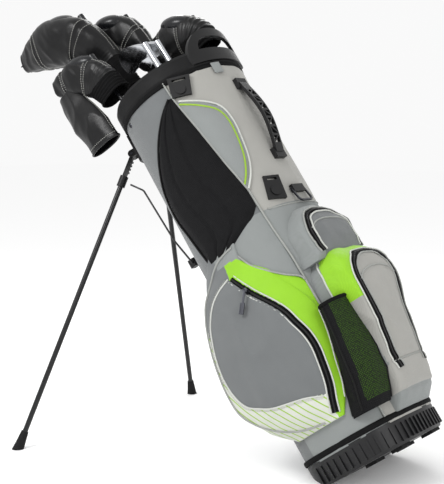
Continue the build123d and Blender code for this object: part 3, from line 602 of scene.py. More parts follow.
G = G + gnormals(G, False) * off[..., None]
back = grid("back_panel", G, False, ["cool_grey_cloth", "lining", "mid_grey_cloth"], "bag", lambda C: np.where((C[:, 2] < 507) & (C[:, 0] > -50), 2, 0), slot="grey_fabric", solid=2.6)
back.modifiers["thick"].material_offset = 1
fp = bpy.data.objects["front_panel"]
fp.modifiers["thick"].material_offset = 1
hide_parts("bag_tube")
TREES["body"] = BVHTree.FromPolygons([tuple(p) for p in np.array(wall(np.linspace(0, 357, 120)[None, :], np.linspace(40, 845, 60)[:, None], 2.2)).reshape(-1, 3)], [(i * 120 + j, i * 120 + (j + 1) % 120, (i + 1) * 120 + (j + 1) % 120, (i + 1) * 120 + j) for i in range(59) for j in range(120)])


def wcurve(ds, n=160, sgn=1):
    C = curve(ds, n)
    return on("body", np.array([wall(sgn * d, s, 0.0) for d, s in C]), "axis", n)


for sg, nm in ((-1, "right"), (1, "left")):
    q = np.linspace(58, 834, 240)
    P, nn = on("body", wall(sg * diag(q), q), "axis", 240)
    tube("edge_piping_" + nm, P, 2.3, ["grey_piping"], nrm=nn, lift=0.6)
    for d in (-1, 1):
        pass
P, nn = wcurve([(-41, 505), (-30, 502), (0, 501), (30, 502), (41, 505)])
tube("waist_piping", P, 1.7, ["grey_piping"], nrm=nn, lift=0.5)
stitches("waist_stitch", P + np.array([0, 0, 7.0]), nn, mat="thread_pale")
P, nn = wcurve([(180, 60), (180, 400), (180, 828)], 200)
stitches("spine_stitch_a", offset_path(P, nn, 4), nn)
stitches("spine_stitch_b", offset_path(P, nn, -4), nn)
# binding below the cuff
P, nn = on("body", wall(np.linspace(0, 357, 180), np.full(180, 831.0)), "axis", 180)
tube("cuff_binding", P, 5.0, ["black_cloth"], closed=True, nrm=nn, flat=0.4, lift=0.8)
P, nn = on("body", wall(np.linspace(0, 357, 180), np.full(180, 53.0)), "axis", 180)
tube("base_binding", P, 5.5, ["black_cloth"], closed=True, nrm=nn, flat=0.4, lift=0.8)
# grey tab on the cuff's lower edge
G = np.array([[wall(-22 + 9 * a, 833 - 24 * b, 6.2 + 1.2 * math.sin(math.pi * a) * math.sin(math.pi * b)) for a in np.linspace(0, 1, 9)] for b in np.linspace(0, 1, 9)])
grid("cuff_tab", G, False, ["mid_grey_cloth"], "bag", slot="grey_fabric", solid=1.6)


# ------------------------------------------------------------ patches on the side: valuables pocket and hip pad
def patch(name, s0, s1, L, R, hfn, mats, nu=70, nv=110, **kw):
    v = np.linspace(0, 1, nv)
    q = s0 + (s1 - s0) * v
    Ls, Rs = L(q), R(q)
    u = np.linspace(0, 1, nu)
    A = Ls[:, None] + (Rs - Ls)[:, None] * u[None, :]
    Sx = np.broadcast_to(q[:, None], A.shape)
    G = wall(A, Sx)
    n = gnormals(G, False)
    if n[nv // 2, nu // 2] @ np.array([G[nv // 2, nu // 2, 0], G[nv // 2, nu // 2, 1], 0]) < 0:
        n = -n
    h = hfn(u[None, :], v[:, None], G)
    return grid(name, G + n * h[..., None], False, mats, "bag", **kw)


def lens_r(q):
    return np.interp(q, [556, 583, 614, 654, 698, 734, 758, 776, 784], [-47.1, -39.8, -34.4, -31.2, -29.5, -32.6, -43.3, -54.0, -61.4])


def lens_l(q):
    return -diag(q) + 0.2


for sg, nm in ((-1, "right"), (1, "left")):
    if sg == 1:
        continue
    va = patch(
        "valuables_panel", 556, 784, lens_l, lens_r,
        lambda a, b, G: 1.2 + 12.5 * np.maximum(np.sin(math.pi * np.clip(a * 0.92 + 0.04, 0, 1)), 0) ** 0.6 * np.maximum(np.sin(math.pi * b), 0) ** 0.55 + 0.9 * noise(G, 45.0, 21) * np.sin(math.pi * b),
        ["mid_grey_cloth"], pad=0.5, slot="light_fabric",
    )
    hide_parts("valuables_pocket")
R0 = [(-61.6, 783), (-43.3, 758), (-32.6, 734), (-29.5, 698), (-31.2, 654), (-34.4, 614), (-39.8, 583), (-47.1, 557)]
C = curve(R0, 150)
P, nn = on("valuables_panel", np.array([wall(d, s) for d, s in C]), "axis", 150)
P, nn = wcurve(R0, 150)
tube("lens_piping_white", P, 2.2, ["white_piping"], nrm=nn, lift=3.0)
R1 = [(-62.5, 777), (-47.0, 750), (-37.0, 727), (-34.0, 697), (-35.2, 655), (-38.2, 618), (-43.0, 588), (-48.6, 566)]
C = curve(R1, 150)
P, nn = on("valuables_panel", np.array([wall(d, s) for d, s in C]), "axis", 150)
tube("lens_piping_lime", P, 2.0, ["lime_piping"], nrm=nn, lift=0.2, flat=0.8)
hl = lambda q: np.interp(q, [452, 487, 547, 597, 651, 696, 739, 776, 799], [-105, -111, -117, -123, -120, -109, -95, -80, -68.5])
hr = lambda q: np.interp(q, [452, 470, 500, 520, 556, 622, 705, 787, 799], [-101, -84, -56, -48.5, -47.8, -53.2, -58.6, -64.6, -66.0])


def hip_h(a, b, G):
    e = np.minimum(np.minimum(a, 1 - a) * 5.0, np.minimum(b, 1 - b) * 9.0)
    h = 1.6 + 8.5 * smooth01(e) ** 0.7
    for c, w in ((0.36, 0.03), (0.66, 0.03)):
        h = h - 2.6 * np.exp(-(((a - c - 0.10 * (0.5 - b)) / w) ** 2)) * smooth01(e)
    return h + 0.6 * noise(G, 34.0, 31) * smooth01(e) + 0.5 * wrinkle(G, 60.0, 33) * smooth01(e)


hp = patch("hip_pad_mesh", 452, 799, hl, hr, hip_h, ["spacer_mesh"], 120, 190, pad=0.7, slot="black_mesh")
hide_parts("hip_pad")
P, nn = wcurve([(-68.5, 799), (-80, 776), (-95, 739), (-109, 696), (-120, 651), (-123, 597), (-117, 547), (-111, 487), (-105, 452)], 170)
tube("hip_piping", P, 2.2, ["black_piping"], nrm=nn, lift=1.0)

# flat part of the lime gusset, on the wall beside the apparel pocket
gl = lambda q: np.full(np.shape(q), -93.0)
gr = lambda q: np.interp(q, [270, 312, 350, 360, 379, 420, 456], [-42.4, -42.4, -43.2, -46.5, -57.0, -73.6, -81.6])
gus = patch("gusset_panel", 270, 456, gl, gr, lambda a, b, G: 4.4 - 2.4 * np.clip(a, 0, 1) ** 12 - 2.4 * b**20 + 0.8 * wrinkle(G, 44.0, 35), ["lime_cloth"], 60, 80, slot="light_fabric", solid=1.5)
P, nn = wcurve([(-90, 461), (-81.6, 456), (-73.6, 420), (-57, 379), (-46, 360), (-43.4, 350)], 120)
tube("gusset_top_piping", P, 1.9, ["grey_piping"], nrm=nn, lift=2.4)

# ------------------------------------------------------------ apparel pockets
AP = [
    (95, [(-40, -90), (-60, -112), (-62, -132), (-40, -139), (0, -143), (34, -143), (56, -134), (40, -90)]),
    (140, [(-70, -75), (-96, -98), (-114, -130), (-88, -160), (-20, -172), (56, -156), (80, -122), (50, -80)]),
    (205, [(-75, -70), (-104, -94), (-138, -130), (-128, -172), (-40, -188), (69, -160), (96, -112), (60, -75)]),
    (275, [(-78, -70), (-106, -94), (-134, -130), (-121, -176), (-30, -188), (63, -158), (103, -104), (66, -75)]),
    (395, [(-80, -72), (-106, -96), (-112, -122), (-88, -162), (-45, -172), (11, -154), (64, -128), (40, -80)]),
    (448, [(-60, -90), (-82, -112), (-84, -126), (-60, -140), (-40, -145), (-18, -146), (24, -142), (10, -90)]),
    (486, [(-30, -110), (-42, -128), (-42, -137), (-26, -140), (-8, -142), (6, -142), (30, -139), (20, -110)]),
]
PER = 30
G0 = pocket(AP, PER, [0.3, 0.5, 0.8, 0.75, 0.9, 0.35, 0.5, 0.3], 150)
HEM = [(-100, 360), (-107, 308), (-114, 261), (-109, 221), (-95, 195), (-71, 180), (-38, 167), (20, 154), (59, 141)]
ZIP = [(-8, -140, 421), (19, -150, 377), (56, -160, 321), (70, -160, 285), (79, -160, 246), (79, -160, 204), (69, -160, 155), (48, -140, 106)]
ZP = curve([(p[0], p[2]) for p in ZIP], 80)
for sg, nm in ((-1, "right"), (1, "left")):
    G = G0.copy()
    n = gnormals(G, True)
    c = np.array([0.0, -120.0, 270.0])
    if np.sum(n[75] * (G[75] - np.array([G[75, :, 0].mean(), G[75, :, 1].mean(), G[75, 0, 2]]))) < 0:
        n = -n
    bulge = smooth01((G[..., 2] - 95) / 60) * smooth01((486 - G[..., 2]) / 90)
    out = smooth01((-G[..., 1] - 135) / 25)
    off = 2.2 * noise(G, 70.0, 41 if sg < 0 else 47) * out * bulge + 2.4 * wrinkle(G * np.array([1.0, 1.0, 0.6]), 62.0, 43 if sg < 0 else 49) * out * bulge
    # pull along the zip and the outer seam
    zf = np.interp(G[..., 2], ZP[::-1, 1], ZP[::-1, 0])
    off -= 2.0 * np.exp(-(((G[..., 0] - zf) / 5.0) ** 2)) * out
    G = G + n * off[..., None]
    if sg > 0:
        G = G * np.array([1, -1, 1])

    def apmat(C, sg=sg):
        f, y, s = C[:, 0], C[:, 1] * -sg, C[:, 2]
        y = -np.abs(C[:, 1])
        zf = np.interp(s, ZP[::-1, 1], ZP[::-1, 0])
        idx = np.zeros(len(C), int)
        outer = y < -118
        idx[(f > zf) & (s < 421)] = 1
        top = np.interp(f, [-20, 20, 39, 76, 99], [452, 450, 424, 392, 372])
        idx[(s >= 421) & (f > -12)] = 1
        idx[(s > top + 0) & (f > -30)] = 5
        hf = np.interp(s, [141, 154, 167, 180, 195, 221, 261, 308, 360], [59, 20, -38, -71, -95, -109, -114, -107, -100])
        band = (((f < hf) & (s < 360)) | (s < 141)) & (f < zf)
        idx[band & (y < -105)] = 2
        edge = (f < -60) & (y > -132)
        idx[edge & (idx != 1)] = 3
        return idx

    o = grid("apparel_panel_" + nm, G, True, ["cool_grey_cloth", "lime_cloth", "pale_hatched_cloth", "cool_grey_cloth", "hatched_grey_cloth", "mid_grey_cloth"], "bag", apmat, lambda V: np.stack([V[:, 0], V[:, 2]], -1), (True, True), 0.55, "grey_fabric", flip=(sg > 0))
    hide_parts("apparel_pocket_" + nm)
    way = "side" if sg < 0 else "left"
    side = "apparel_panel_" + nm
    ys = 1 if sg < 0 else -1
    mir = lambda L: [(a, b * ys, c) for a, b, c in L]
    P, nn = on(side, mir(ZIP), way, 200)
    zipper("apparel_zip_" + nm, P, nn, 13.0)
    for k, d in (("a", 8.2), ("b", -8.2)):
        Q = offset_path(P, nn, d)
        tube("apparel_zip_piping_" + k + "_" + nm, Q, 1.6, ["white_piping"], nrm=nn, lift=0.6)
    edge = G0[6:-6, 3 * PER - 8].copy()
    edge = np.array([p for p in edge])
    E = [(22, -145, 473), (-20, -142, 466), (-58, -142, 440), (-80, -160, 405), (-100, -170, 365), (-112, -172, 320), (-118, -172, 280), (-124, -172, 235), (-124, -172, 200), (-108, -168, 165), (-86, -160, 140), (-52, -150, 118), (-20, -150, 106), (20, -146, 99)]
    P, nn = on(side, mir(E), way, 220)
    tube("apparel_edge_piping_" + nm, P, 2.2, ["grey_piping"], nrm=nn, lift=0.7)
    H = [(-14, -168, 424), (-37, -168, 412), (-58, -168, 395), (-76, -168, 374), (-91, -168, 350), (-105, -170, 308), (-111, -170, 261), (-106, -170, 221), (-92, -170, 195), (-68, -170, 180), (-38, -170, 167), (20, -165, 154), (52, -160, 141)]
    P, nn = on(side, mir(H), way, 180)
    tube("apparel_hem_piping_" + nm, P, 1.7, ["white_piping"], nrm=nn, lift=0.6)
    stitches("apparel_hem_stitch_" + nm, offset_path(P, nn, 5 * ys), nn)
    T = [(98, -98, 350), (102, -101, 312), (101, -106, 260), (94, -112, 205), (82, -120, 150), (66, -130, 108)]
    if sg < 0:
        P, nn = on(side, mir(T), "side", 120)
        if len(P) > 20:
            tube("gusset_edge_piping", P, 1.5, ["white_piping"], nrm=nn, lift=0.5)

# ------------------------------------------------------------ ball pocket and accessory pocket


def front(half, d0, d1):
    return [(60, -half + 30), (d0, -half), (d1 - 9, -half + 2), (d1, -half + 18), (d1 + 4, 0), (d1, half - 18), (d1 - 9, half - 2), (d0, half), (60, half - 30)]


BA = [(56, 64, 100, 128), (88, 64, 100, 152), (140, 66, 100, 164), (240, 72, 100, 180), (300, 88, 96, 188), (340, 84, 96, 186), (366, 70, 100, 168), (388, 52, 108, 136)]
AC = [(389, 84, 100, 156), (430, 86, 100, 155), (462, 72, 106, 148), (484, 48, 112, 134)]
TEN = [0.2, 0.5, 0.8, 0.9, 1.0, 0.9, 0.8, 0.5, 0.2]


def fpocket(name, secs, mats, matfn, node, seed, nv, pad, slot):
    G = pocket([(s, front(*v)) for s, *v in secs], 24, TEN, nv)
    n = gnormals(G, True)
    k = nv // 2
    if np.sum(n[k] * (G[k] - G[k].mean(0))) < 0:
        n = -n
    face = smooth01((G[..., 0] - 120) / 30)
    off = (1.6 * noise(G, 60.0, seed) + 2.0 * wrinkle(G, 52.0, seed + 3)) * face
    for sc in (137, 83) if name.startswith("ball") else ():
        off -= 2.2 * np.exp(-(((G[..., 2] - sc) / 3.0) ** 2)) * face
    G = G + n * off[..., None]
    o = grid(name, G, True, mats, "bag", matfn, lambda V: np.stack([V[:, 1], V[:, 2] + 0.6 * V[:, 0]], -1), (True, True), pad, slot)
    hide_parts(node)
    return o


ZB = [(48, 122), (51, 150), (54, 200), (58, 245), (66, 285), (66, 312), (54, 336), (32, 349), (0, 354)]


def bamat(C):
    f, y, s = C[:, 0], np.abs(C[:, 1]), C[:, 2]
    idx = np.zeros(len(C), int)
    zy = np.interp(s, [122, 150, 200, 245, 285, 312, 336, 349], [48, 51, 54, 58, 66, 66, 54, 32])
    outside = (y > zy) | (s > 353)
    idx[outside] = 1
    idx[outside & (f < 132)] = 3
    idx[outside & (s < 268)] = 0
    idx[outside & (s < 268) & (f < 150)] = 3
    idx[s < 137] = 0
    idx[s < 84] = 3
    return idx


fpocket("ball_panel", BA, ["light_grey_cloth", "lime_cloth", "cool_grey_cloth", "mid_grey_cloth"], bamat, "ball_pocket", 61, 130, 0.6, "light_fabric")
ring = [(165, -y, s) for y, s in ZB] + [(165, y, s) for y, s in ZB[::-1][1:]]
P, nn = on("ball_panel", ring, "front", 320)
zipper("ball_zip", P, nn, 13.0)
Pa, na = on("ball_panel", [(132, 0, 270), (132, 0, 305), (132, 0, 342)], "side", 60)
Pb, nb_ = on("ball_panel", [(131, -84, 352), (128, -64, 374), (125, -32, 383), (125, 0, 384), (125, 32, 383), (128, 64, 374), (131, 84, 352)], "axis", 140)
Pc, nc = on("ball_panel", [(132, 0, 342), (132, 0, 305), (132, 0, 270)], "left", 60)
P2 = curve(np.vstack([Pa[::6], Pb[4:-4:6], Pc[::6]]), 240)
n2 = np.stack([np.interp(np.linspace(0, 1, 240), np.linspace(0, 1, len(Pa) + len(Pb) + len(Pc)), np.vstack([na, nb_, nc])[:, j]) for j in range(3)], -1)
tube("ball_band_piping", P2, 1.8, ["white_piping"], nrm=n2, lift=0.6)
for k, d in (("a", 8.4), ("b", -8.4)):
    tube("ball_zip_piping_" + k, offset_path(P, nn, d), 1.6, ["white_piping" if k == "b" else "grey_piping"], nrm=nn, lift=0.6)
P, nn = on("ball_panel", [(165, y, s) for y, s in [(-62, 296), (-46, 309), (-20, 316), (0, 317), (20, 316), (46, 309), (62, 296)]], "front", 150)
tube("ball_flap_piping", P, 1.6, ["grey_piping"], nrm=nn, lift=0.5)
stitches("ball_flap_stitch", P - np.array([0, 0, 6.0]), nn)
for s in (137, 84):
    P, nn = on("ball_panel", [(165, y, s) for y in (-56, -30, 0, 30, 56)], "front", 120)
    stitches("ball_seam_stitch_%d" % s, P + np.array([0, 0, 4.0]), nn)
    if s == 137:
        tube("ball_seam_piping", P, 1.4, ["grey_piping"], nrm=nn, lift=0.3)

ZA = [(74, 378), (76, 400), (75, 428), (62, 452), (36, 466), (0, 470)]


def acmat(C):
    f, y, s = C[:, 0], np.abs(C[:, 1]), C[:, 2]
    idx = np.zeros(len(C), int)
    zy = np.interp(s, [376, 400, 430, 456, 470], [72, 78, 78, 66, 40])
    idx[(y > zy) | (s > 474)] = 1
    return idx


fpocket("accessory_panel", [(366, 88, 100, 150), (378, 87, 100, 156)] + AC, ["cool_grey_cloth", "mid_grey_cloth"], acmat, "accessory_pocket", 71, 70, 0.5, "light_fabric")
ring = [(150, -y, s) for y, s in ZA] + [(150, y, s) for y, s in ZA[::-1][1:]]
P, nn = on("accessory_panel", ring, "front", 240)
zipper("accessory_zip", P, nn, 10.0)
tube("accessory_zip_piping", offset_path(P, nn, 7.5), 1.7, ["white_piping"], nrm=nn, lift=0.6)
tube("accessory_zip_piping_b", offset_path(P, nn, -7.5), 1.7, ["grey_piping"], nrm=nn, lift=0.6)
P, nn = on("accessory_panel", [(150, y, s) for y, s in [(-72, 428), (-48, 440), (-20, 445), (0, 446), (20, 445), (48, 440), (72, 428)]], "front", 150)
tube("accessory_flap_piping", P, 1.5, ["grey_piping"], nrm=nn, lift=0.5)
stitches("accessory_flap_stitch", P - np.array([0, 0, 5.0]), nn)

# ------------------------------------------------------------ bottle pocket: an open sleeve of net
BO = [
    (80, [(60, -60), (66, -127), (92, -132), (118, -118), (124, -92), (122, -72), (100, -40)]),
    (150, [(66, -60), (84, -121), (112, -138), (138, -122), (148, -96), (146, -68), (110, -40)]),
    (285, [(70, -60), (106, -106), (124, -128), (146, -118), (154, -96), (150, -66), (114, -40)]),
]
G = pocket(BO, 26, [0.2, 0.5, 0.9, 0.9, 0.9, 0.5, 0.2], 90)
n = gnormals(G, True)
if np.sum(n[45] * (G[45] - G[45].mean(0))) < 0:
    n = -n
off = (0.8 * noise(G, 40.0, 81) + 1.0 * wrinkle(G, 38.0, 83)) * smooth01((G[..., 0] - 80) / 20)
G = G + n * off[..., None]


def bomat(C):
    idx = np.zeros(len(C), int)
    idx[(C[:, 0] > np.interp(C[:, 2], [80, 150, 285], [106, 126, 138])) & (C[:, 2] > 96)] = 1
    return idx


bo = grid("bottle_sleeve", G, True, ["spacer_mesh", "net"], "bag", bomat, None, (True, False), 0.15, "black_mesh", solid=1.6)
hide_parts("bottle_pocket")
P = G[-1]
tube("bottle_hem", P, 3.4, ["black_cloth"], closed=True, lift=0.0)
k = int(26 * 2.05)
P, nn = G[2:-2, k], n[2:-2, k]
tube("bottle_seam", P, 2.0, ["black_piping"], nrm=nn, lift=0.3)
P, nn = G[2:-2, 26], n[2:-2, 26]
tube("bottle_edge_binding", P, 2.4, ["black_piping"], nrm=nn, lift=0.3)
P, nn = G[2:-2, 26 * 5], n[2:-2, 26 * 5]
tube("bottle_edge_binding_b", P, 2.4, ["black_piping"], nrm=nn, lift=0.3)

# ------------------------------------------------------------ head covers
CLUBS = {
    "driver": (1168.0, (40.0, 0.0, 13.0), (-86.0, 0.0)),
    "fairway_wood": (1118.0, (30.0, 58.0, 13.0), (-46.0, 65.0)),
    "hybrid": (1016.0, (36.0, -62.0, 13.0), (-72.0, -89.0)),
    "utility_wood": (985.0, (88.0, 40.0, 13.0), (88.0, 50.0)),
}
COVERS = {
    "driver": [(0, 0, -236, 0, 25, 24), (0, 0, -150, 0, 25, 24), (10, 0, -96, 12, 40, 34), (30, 0, -54, 42, 52, 42), (72, 0, -20, 66, 56, 43), (122, 0, 6, 72, 47, 36), (158, 0, 18, 74, 34, 24), (178, 0, 25, 76, 25, 18)],
    "fairway_wood": [(0, 0, -190, 0, 25, 24), (0, 0, -112, 0, 26, 24), (12, 0, -66, 16, 36, 31), (34, 0, -34, 50, 45, 36), (76, 0, -8, 68, 45, 37), (124, 0, 12, 74, 26, 22)],
    "hybrid": [(6, 0, -112, 0, 36, 23), (12, 0, -78, 6, 40, 24), (26, 0, -44, 36, 41, 24), (60, 0, -16, 66, 38, 24), (112, 0, 6, 76, 20, 15)],
    "utility_wood": [(0, 0, -84, 0, 28, 25), (4, 0, -62, 20, 38, 30), (22, 0, -38, 56, 44, 33), (60, 0, -20, 76, 42, 34), (104, 0, -8, 80, 28, 22)],
}
DY = {"driver": 24.0, "fairway_wood": 2.0, "hybrid": 4.0, "utility_wood": 4.0}
for ci, (name, secs) in enumerate(COVERS.items()):
    L, butt, mouth = CLUBS[name]
    b0 = np.array(butt)
    m0 = np.array([mouth[0], mouth[1], 872.0])
    z = m0 - b0
    z /= np.linalg.norm(z)
    x = np.array([-1.0, 0, 0])
    x = x - z * (x @ z)
    x /= np.linalg.norm(x)
    y = np.cross(z, x)
    par = []
    for k, (cx, cy, cz, tilt, a, b) in enumerate(secs):
        par.append((cx, cy + DY[name] * min(1.0, max(0.0, (k - 1) / 2.0)), cz, math.radians(tilt), a, b))
    par = np.array(par)
    # the toe end closes in a soft dome
    d = np.array([math.sin(par[-1, 3]), 0, math.cos(par[-1, 3])])
    e = par[-1].copy()
    last = []
    for f_, sc in ((0.22, 0.97), (0.38, 0.86), (0.48, 0.62), (0.52, 0.25)):
        q = e.copy()
        q[:3] = e[:3] + d * e[5] * 0.62 * f_
        q[4:] = e[4:] * sc
        last.append(q)
    par = np.vstack([par, last])
    dist = np.concatenate([[0], np.cumsum(np.linalg.norm(np.diff(par[:, :3], axis=0), axis=1))])
    qd = np.linspace(0, dist[-1], 120)
    Pq = herm(dist, par, qd)
    ang = np.linspace(0, 2 * math.pi, 96, endpoint=False)
    ct, st = np.cos(ang), np.sin(ang)
    pw = 0.74
    cx_ = np.sign(ct) * np.abs(ct) ** pw
    sy_ = np.sign(st) * np.abs(st) ** pw
    G = np.zeros((len(qd), 96, 3))
    G[..., 0] = Pq[:, 0:1] + np.cos(Pq[:, 3:4]) * Pq[:, 4:5] * cx_[None]
    G[..., 1] = Pq[:, 1:2] + Pq[:, 5:6] * sy_[None]
    G[..., 2] = Pq[:, 2:3] - np.sin(Pq[:, 3:4]) * Pq[:, 4:5] * cx_[None]
    n = gnormals(G, True)
    if np.sum(n[60] * (G[60] - G[60].mean(0))) < 0:
        n = -n
    headpart = smooth01((qd - 0.18 * dist[-1]) / (0.25 * dist[-1]))[:, None]
    w = wrinkle(G * np.array([1, 1, 0.45]), 36.0, 101 + 7 * ci)
    w2 = wrinkle(G * np.array([1.0, 1.0, 0.3]), 22.0, 211 + 7 * ci)
    off = (2.4 * noise(G, 58.0, 91 + 7 * ci) + 2.0 * w + 0.7 * w2) * (0.3 + 0.7 * headpart) - 0.8
    neck = 1 - headpart
    off = off + neck * 1.2 * np.sin(qd[:, None] * 2 * math.pi / 7.0)
    # side seams and two panel seams
    for sa in (0.0, math.pi):
        dd = (ang[None, :] - sa + math.pi) % (2 * math.pi) - math.pi
        off = off - 2.6 * np.exp(-((dd / 0.06) ** 2)) * headpart
    for sf in (0.46, 0.80):
        off = off - 2.4 * np.exp(-(((qd[:, None] - sf * dist[-1]) / 2.6) ** 2)) * headpart
    off = off - 1.2
    G = G + n * off[..., None]
    G[..., 2] += L
    B = b0 + G[..., 0:1] * x + G[..., 1:2] * y + G[..., 2:3] * z
    nb = n[..., 0:1] * x + n[..., 1:2] * y + n[..., 2:3] * z

    def cmat(C, b0=b0, z=z, L=L, cut=Pq[int(0.24 * 120), 2]):
        t = (C - b0) @ z - L
        return np.where(t < cut, 1, 0)

    o = grid(name + "_cover_skin", B, True, ["cover_leather", "cover_knit"], name, cmat, None, (False, True), 0.75, "leather", solid=1.8)
    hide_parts(name + "_cover")
    r0 = int(0.26 * 120)
    for k, col in (("a", 3), ("b", 93), ("c", 45), ("d", 51)):
        stitches(name + "_cover_stitch_" + k, B[r0:108, col], nb[r0:108, col], name, 5.0, 3.2, 0.55, 0.3)
    for k, row in (("e", 0.46), ("f", 0.80)):
        r = int(row * 120)
        for k2, dr in (("1", -2), ("2", 2)):
            Pp = np.vstack([B[r + dr], B[r + dr][:1]])
            Nn = np.vstack([nb[r + dr], nb[r + dr][:1]])
            stitches(name + "_cover_stitch_" + k + k2, Pp, Nn, name, 5.0, 3.2, 0.55, 0.3)
    tube(name + "_cover_mouth", B[1], 2.4, ["cover_knit"], name, 8, True)
    if name in ("driver", "fairway_wood"):
        # pull tab at the toe end
        c = B[-1].mean(0)
        ax = d[0] * x + d[2] * z
        sd = y
        T = np.array([[c - ax * 3 + ax * 16 * a + sd * (6 - 12 * b) + np.cross(ax, sd) * (1.2 * math.sin(math.pi * b)) for b in np.linspace(0, 1, 7)] for a in np.linspace(0, 1, 9)])
        grid(name + "_cover_tab", T, False, ["black_cloth"], name, solid=2.0, slot="leather")

# limp sleeve that hangs from the hybrid's cover
SL = [(824.0, -146.0, -118.0, 42.0, 17.0), (890.0, -160.0, -113.0, 43.0, 17.0), (945.0, -177.0, -107.0, 40.0, 15.0), (985.0, -188.0, -103.0, 30.0, 12.0)]
if "hybrid_cover_sleeve" in N:
    sl = np.array(SL)
    qd = np.linspace(824, 985, 90)
    Pq = herm(sl[:, 0], sl[:, 1:], qd)
    ang = np.linspace(0, 2 * math.pi, 96, endpoint=False)
    G = np.zeros((90, 96, 3))
    G[..., 0] = Pq[:, 0:1] + Pq[:, 2:3] * np.cos(ang)[None]
    G[..., 1] = Pq[:, 1:2] + Pq[:, 3:4] * np.sin(ang)[None]
    G[..., 2] = qd[:, None]
    n = gnormals(G, True)
    if np.sum(n[40] * (G[40] - G[40].mean(0))) < 0:
        n = -n
    keep = smooth01((qd - 826) / 30)[:, None]
    off = (2.8 * wrinkle(G * np.array([1.0, 1.0, 0.4]), 38.0, 141) + 2.2 * noise(G, 52.0, 143)) * (0.25 + 0.75 * keep) - 0.6
    for sa in (0.0, math.pi):
        dd = (ang[None, :] - sa + math.pi) % (2 * math.pi) - math.pi
        off = off - 2.0 * np.exp(-((dd / 0.06) ** 2)) * keep
    G = G + n * off[..., None]
    o = grid("hybrid_sleeve_skin", G, True, ["cover_leather"], "hybrid", None, None, (False, True), 0.2, "leather", solid=1.8)
    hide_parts("hybrid_cover_sleeve")
    tube("hybrid_sleeve_hem", G[1], 2.2, ["cover_leather"], "hybrid", 8, True)
    stitches("hybrid_sleeve_stitch_a", np.vstack([G[6], G[6][:1]]), np.vstack([n[6], n[6][:1]]), "hybrid", 5.0, 3.2, 0.55, 0.3)
    stitches("hybrid_sleeve_stitch_b", G[8:80, 3], n[8:80, 3], "hybrid", 5.0, 3.2, 0.55, 0.3)
    stitches("hybrid_sleeve_stitch_c", G[8:80, 93], n[8:80, 93], "hybrid", 5.0, 3.2, 0.55, 0.3)

# ------------------------------------------------------------ finishes of the hard parts
FIN = {
    "base_cup": "base_plastic", "base_pads": "rubber", "top_cuff": "cuff_plastic", "grab_handle": "black_plastic",
    "club_divider": "lining", "leg_bracket": "black_plastic", "hinge_pins": "dark_metal", "cuff_rivets": "dark_metal",
    "yoke_track": "black_plastic", "spreader_yoke": "black_plastic", "carry_handle": "black_plastic",
    "strap_anchor_upper": "black_plastic", "strap_anchor_lower": "black_plastic", "ring_mount": "black_plastic",
    "strap_ring": "dark_metal", "zip_slider": "dark_metal", "zip_pull": "dark_metal",
}
for n_, o in N.items():
    m = FIN.get(n_)
    if m is None:
        if n_.startswith("leg_"):
            m = "leg_paint" if n_.endswith("_tube") else ("rubber" if n_.endswith("_foot") else "black_plastic")
        elif n_.startswith("spreader_rod"):
            m = "spring_steel"
        elif n_.endswith("_shaft"):
            m = "shaft_steel" if "iron" in n_ else "graphite"
        elif n_.endswith("_grip"):
            m = "grip_rubber"
        elif n_.endswith("_head"):
            m = "chrome" if "iron" in n_ else "graphite"
        else:
            m = "black_plastic"
    mat = MATS[m]
    if "club_divider" == n_:
        mat = MATS["black_plastic"]
    o.data.materials.clear()
    o.data.materials.append(mat)

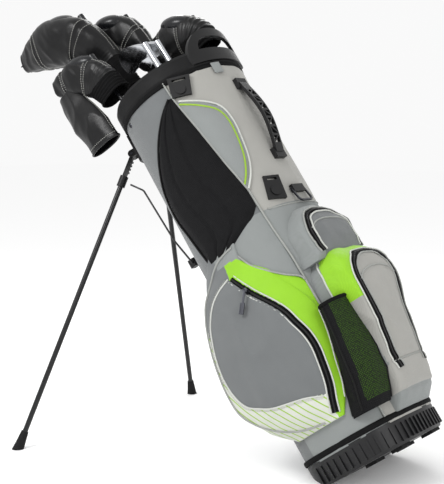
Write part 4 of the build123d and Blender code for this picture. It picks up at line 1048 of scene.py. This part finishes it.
# hosel ferrules
for name, L, butt, mouth in (("five_iron", 955.0, (78.0, -60.0, 13.0), (26.0, -57.0)), ("seven_iron", 962.0, (84.0, -18.0, 13.0), (30.0, -14.0))):
    b0 = np.array(butt)
    z = np.array([mouth[0], mouth[1], 872.0]) - b0
    z /= np.linalg.norm(z)
    h0 = L - 72.0
    P = np.array([b0 + z * (h0 - 22 + t) for t in np.linspace(0, 22, 16)])
    r = np.interp(np.linspace(0, 22, 16), [0, 14, 22], [5.4, 6.4, 6.8]) + np.array([0.0] * 6 + [-0.35, 0, -0.35, 0, -0.35] + [0.0] * 5)
    tube(name + "_ferrule", P, r, ["black_plastic"], name, 20)

# ------------------------------------------------------------ floor, light and camera
bpy.ops.mesh.primitive_plane_add(size=30, location=(0, 0, -0.0006))
floor = bpy.context.object
floor.name = "floor"
fm = bpy.data.materials.new("floor_white")
fm.use_nodes = True
fb = fm.node_tree.nodes["Principled BSDF"]
fb.inputs["Base Color"].default_value = (0.99, 0.99, 0.99, 1)
fb.inputs["Roughness"].default_value = 1.0
fb.inputs["Specular IOR Level"].default_value = 0.0
floor.data.materials.append(fm)
floor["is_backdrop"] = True

world = bpy.data.worlds.new("studio")
bpy.context.scene.world = world
world.use_nodes = True
bg = world.node_tree.nodes["Background"]
bg.inputs[0].default_value = (1, 1, 1, 1)
bg.inputs[1].default_value = 0.95


def area(name, loc, aim, size, power):
    d = bpy.data.lights.new(name, "AREA")
    d.energy = power
    d.size = size
    o = bpy.data.objects.new(name, d)
    bpy.context.scene.collection.objects.link(o)
    o.location = loc
    o.rotation_euler = (Vector(aim) - Vector(loc)).to_track_quat("-Z", "Y").to_euler()
    return o


area("key", (-0.9, -2.4, 2.3), (-0.2, 0, 0.45), 1.1, 52)
area("fill", (2.6, -0.9, 1.5), (0, 0, 0.4), 1.8, 26)
area("rim", (-1.6, 2.2, 2.0), (-0.2, 0, 0.6), 1.2, 24)

cam = bpy.data.cameras.new("photo_view")
cam.lens = 80.29
cam.sensor_width = 36
cam.clip_end = 60
co = bpy.data.objects.new("photo_view", cam)
bpy.context.scene.collection.objects.link(co)
X = Vector((0.8090673, 0.58771601, 0.0))
Y = Vector((-0.05931735, 0.08165803, 0.99489367))
Z = X.cross(Y)
co.matrix_world = Matrix(((X.x, Y.x, Z.x, 1.01985), (X.y, Y.y, Z.y, -1.81297), (X.z, Y.z, Z.z, 0.65185), (0, 0, 0, 1)))
bpy.context.scene.camera = co
bpy.context.scene.view_settings.view_transform = "Standard"

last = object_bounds()
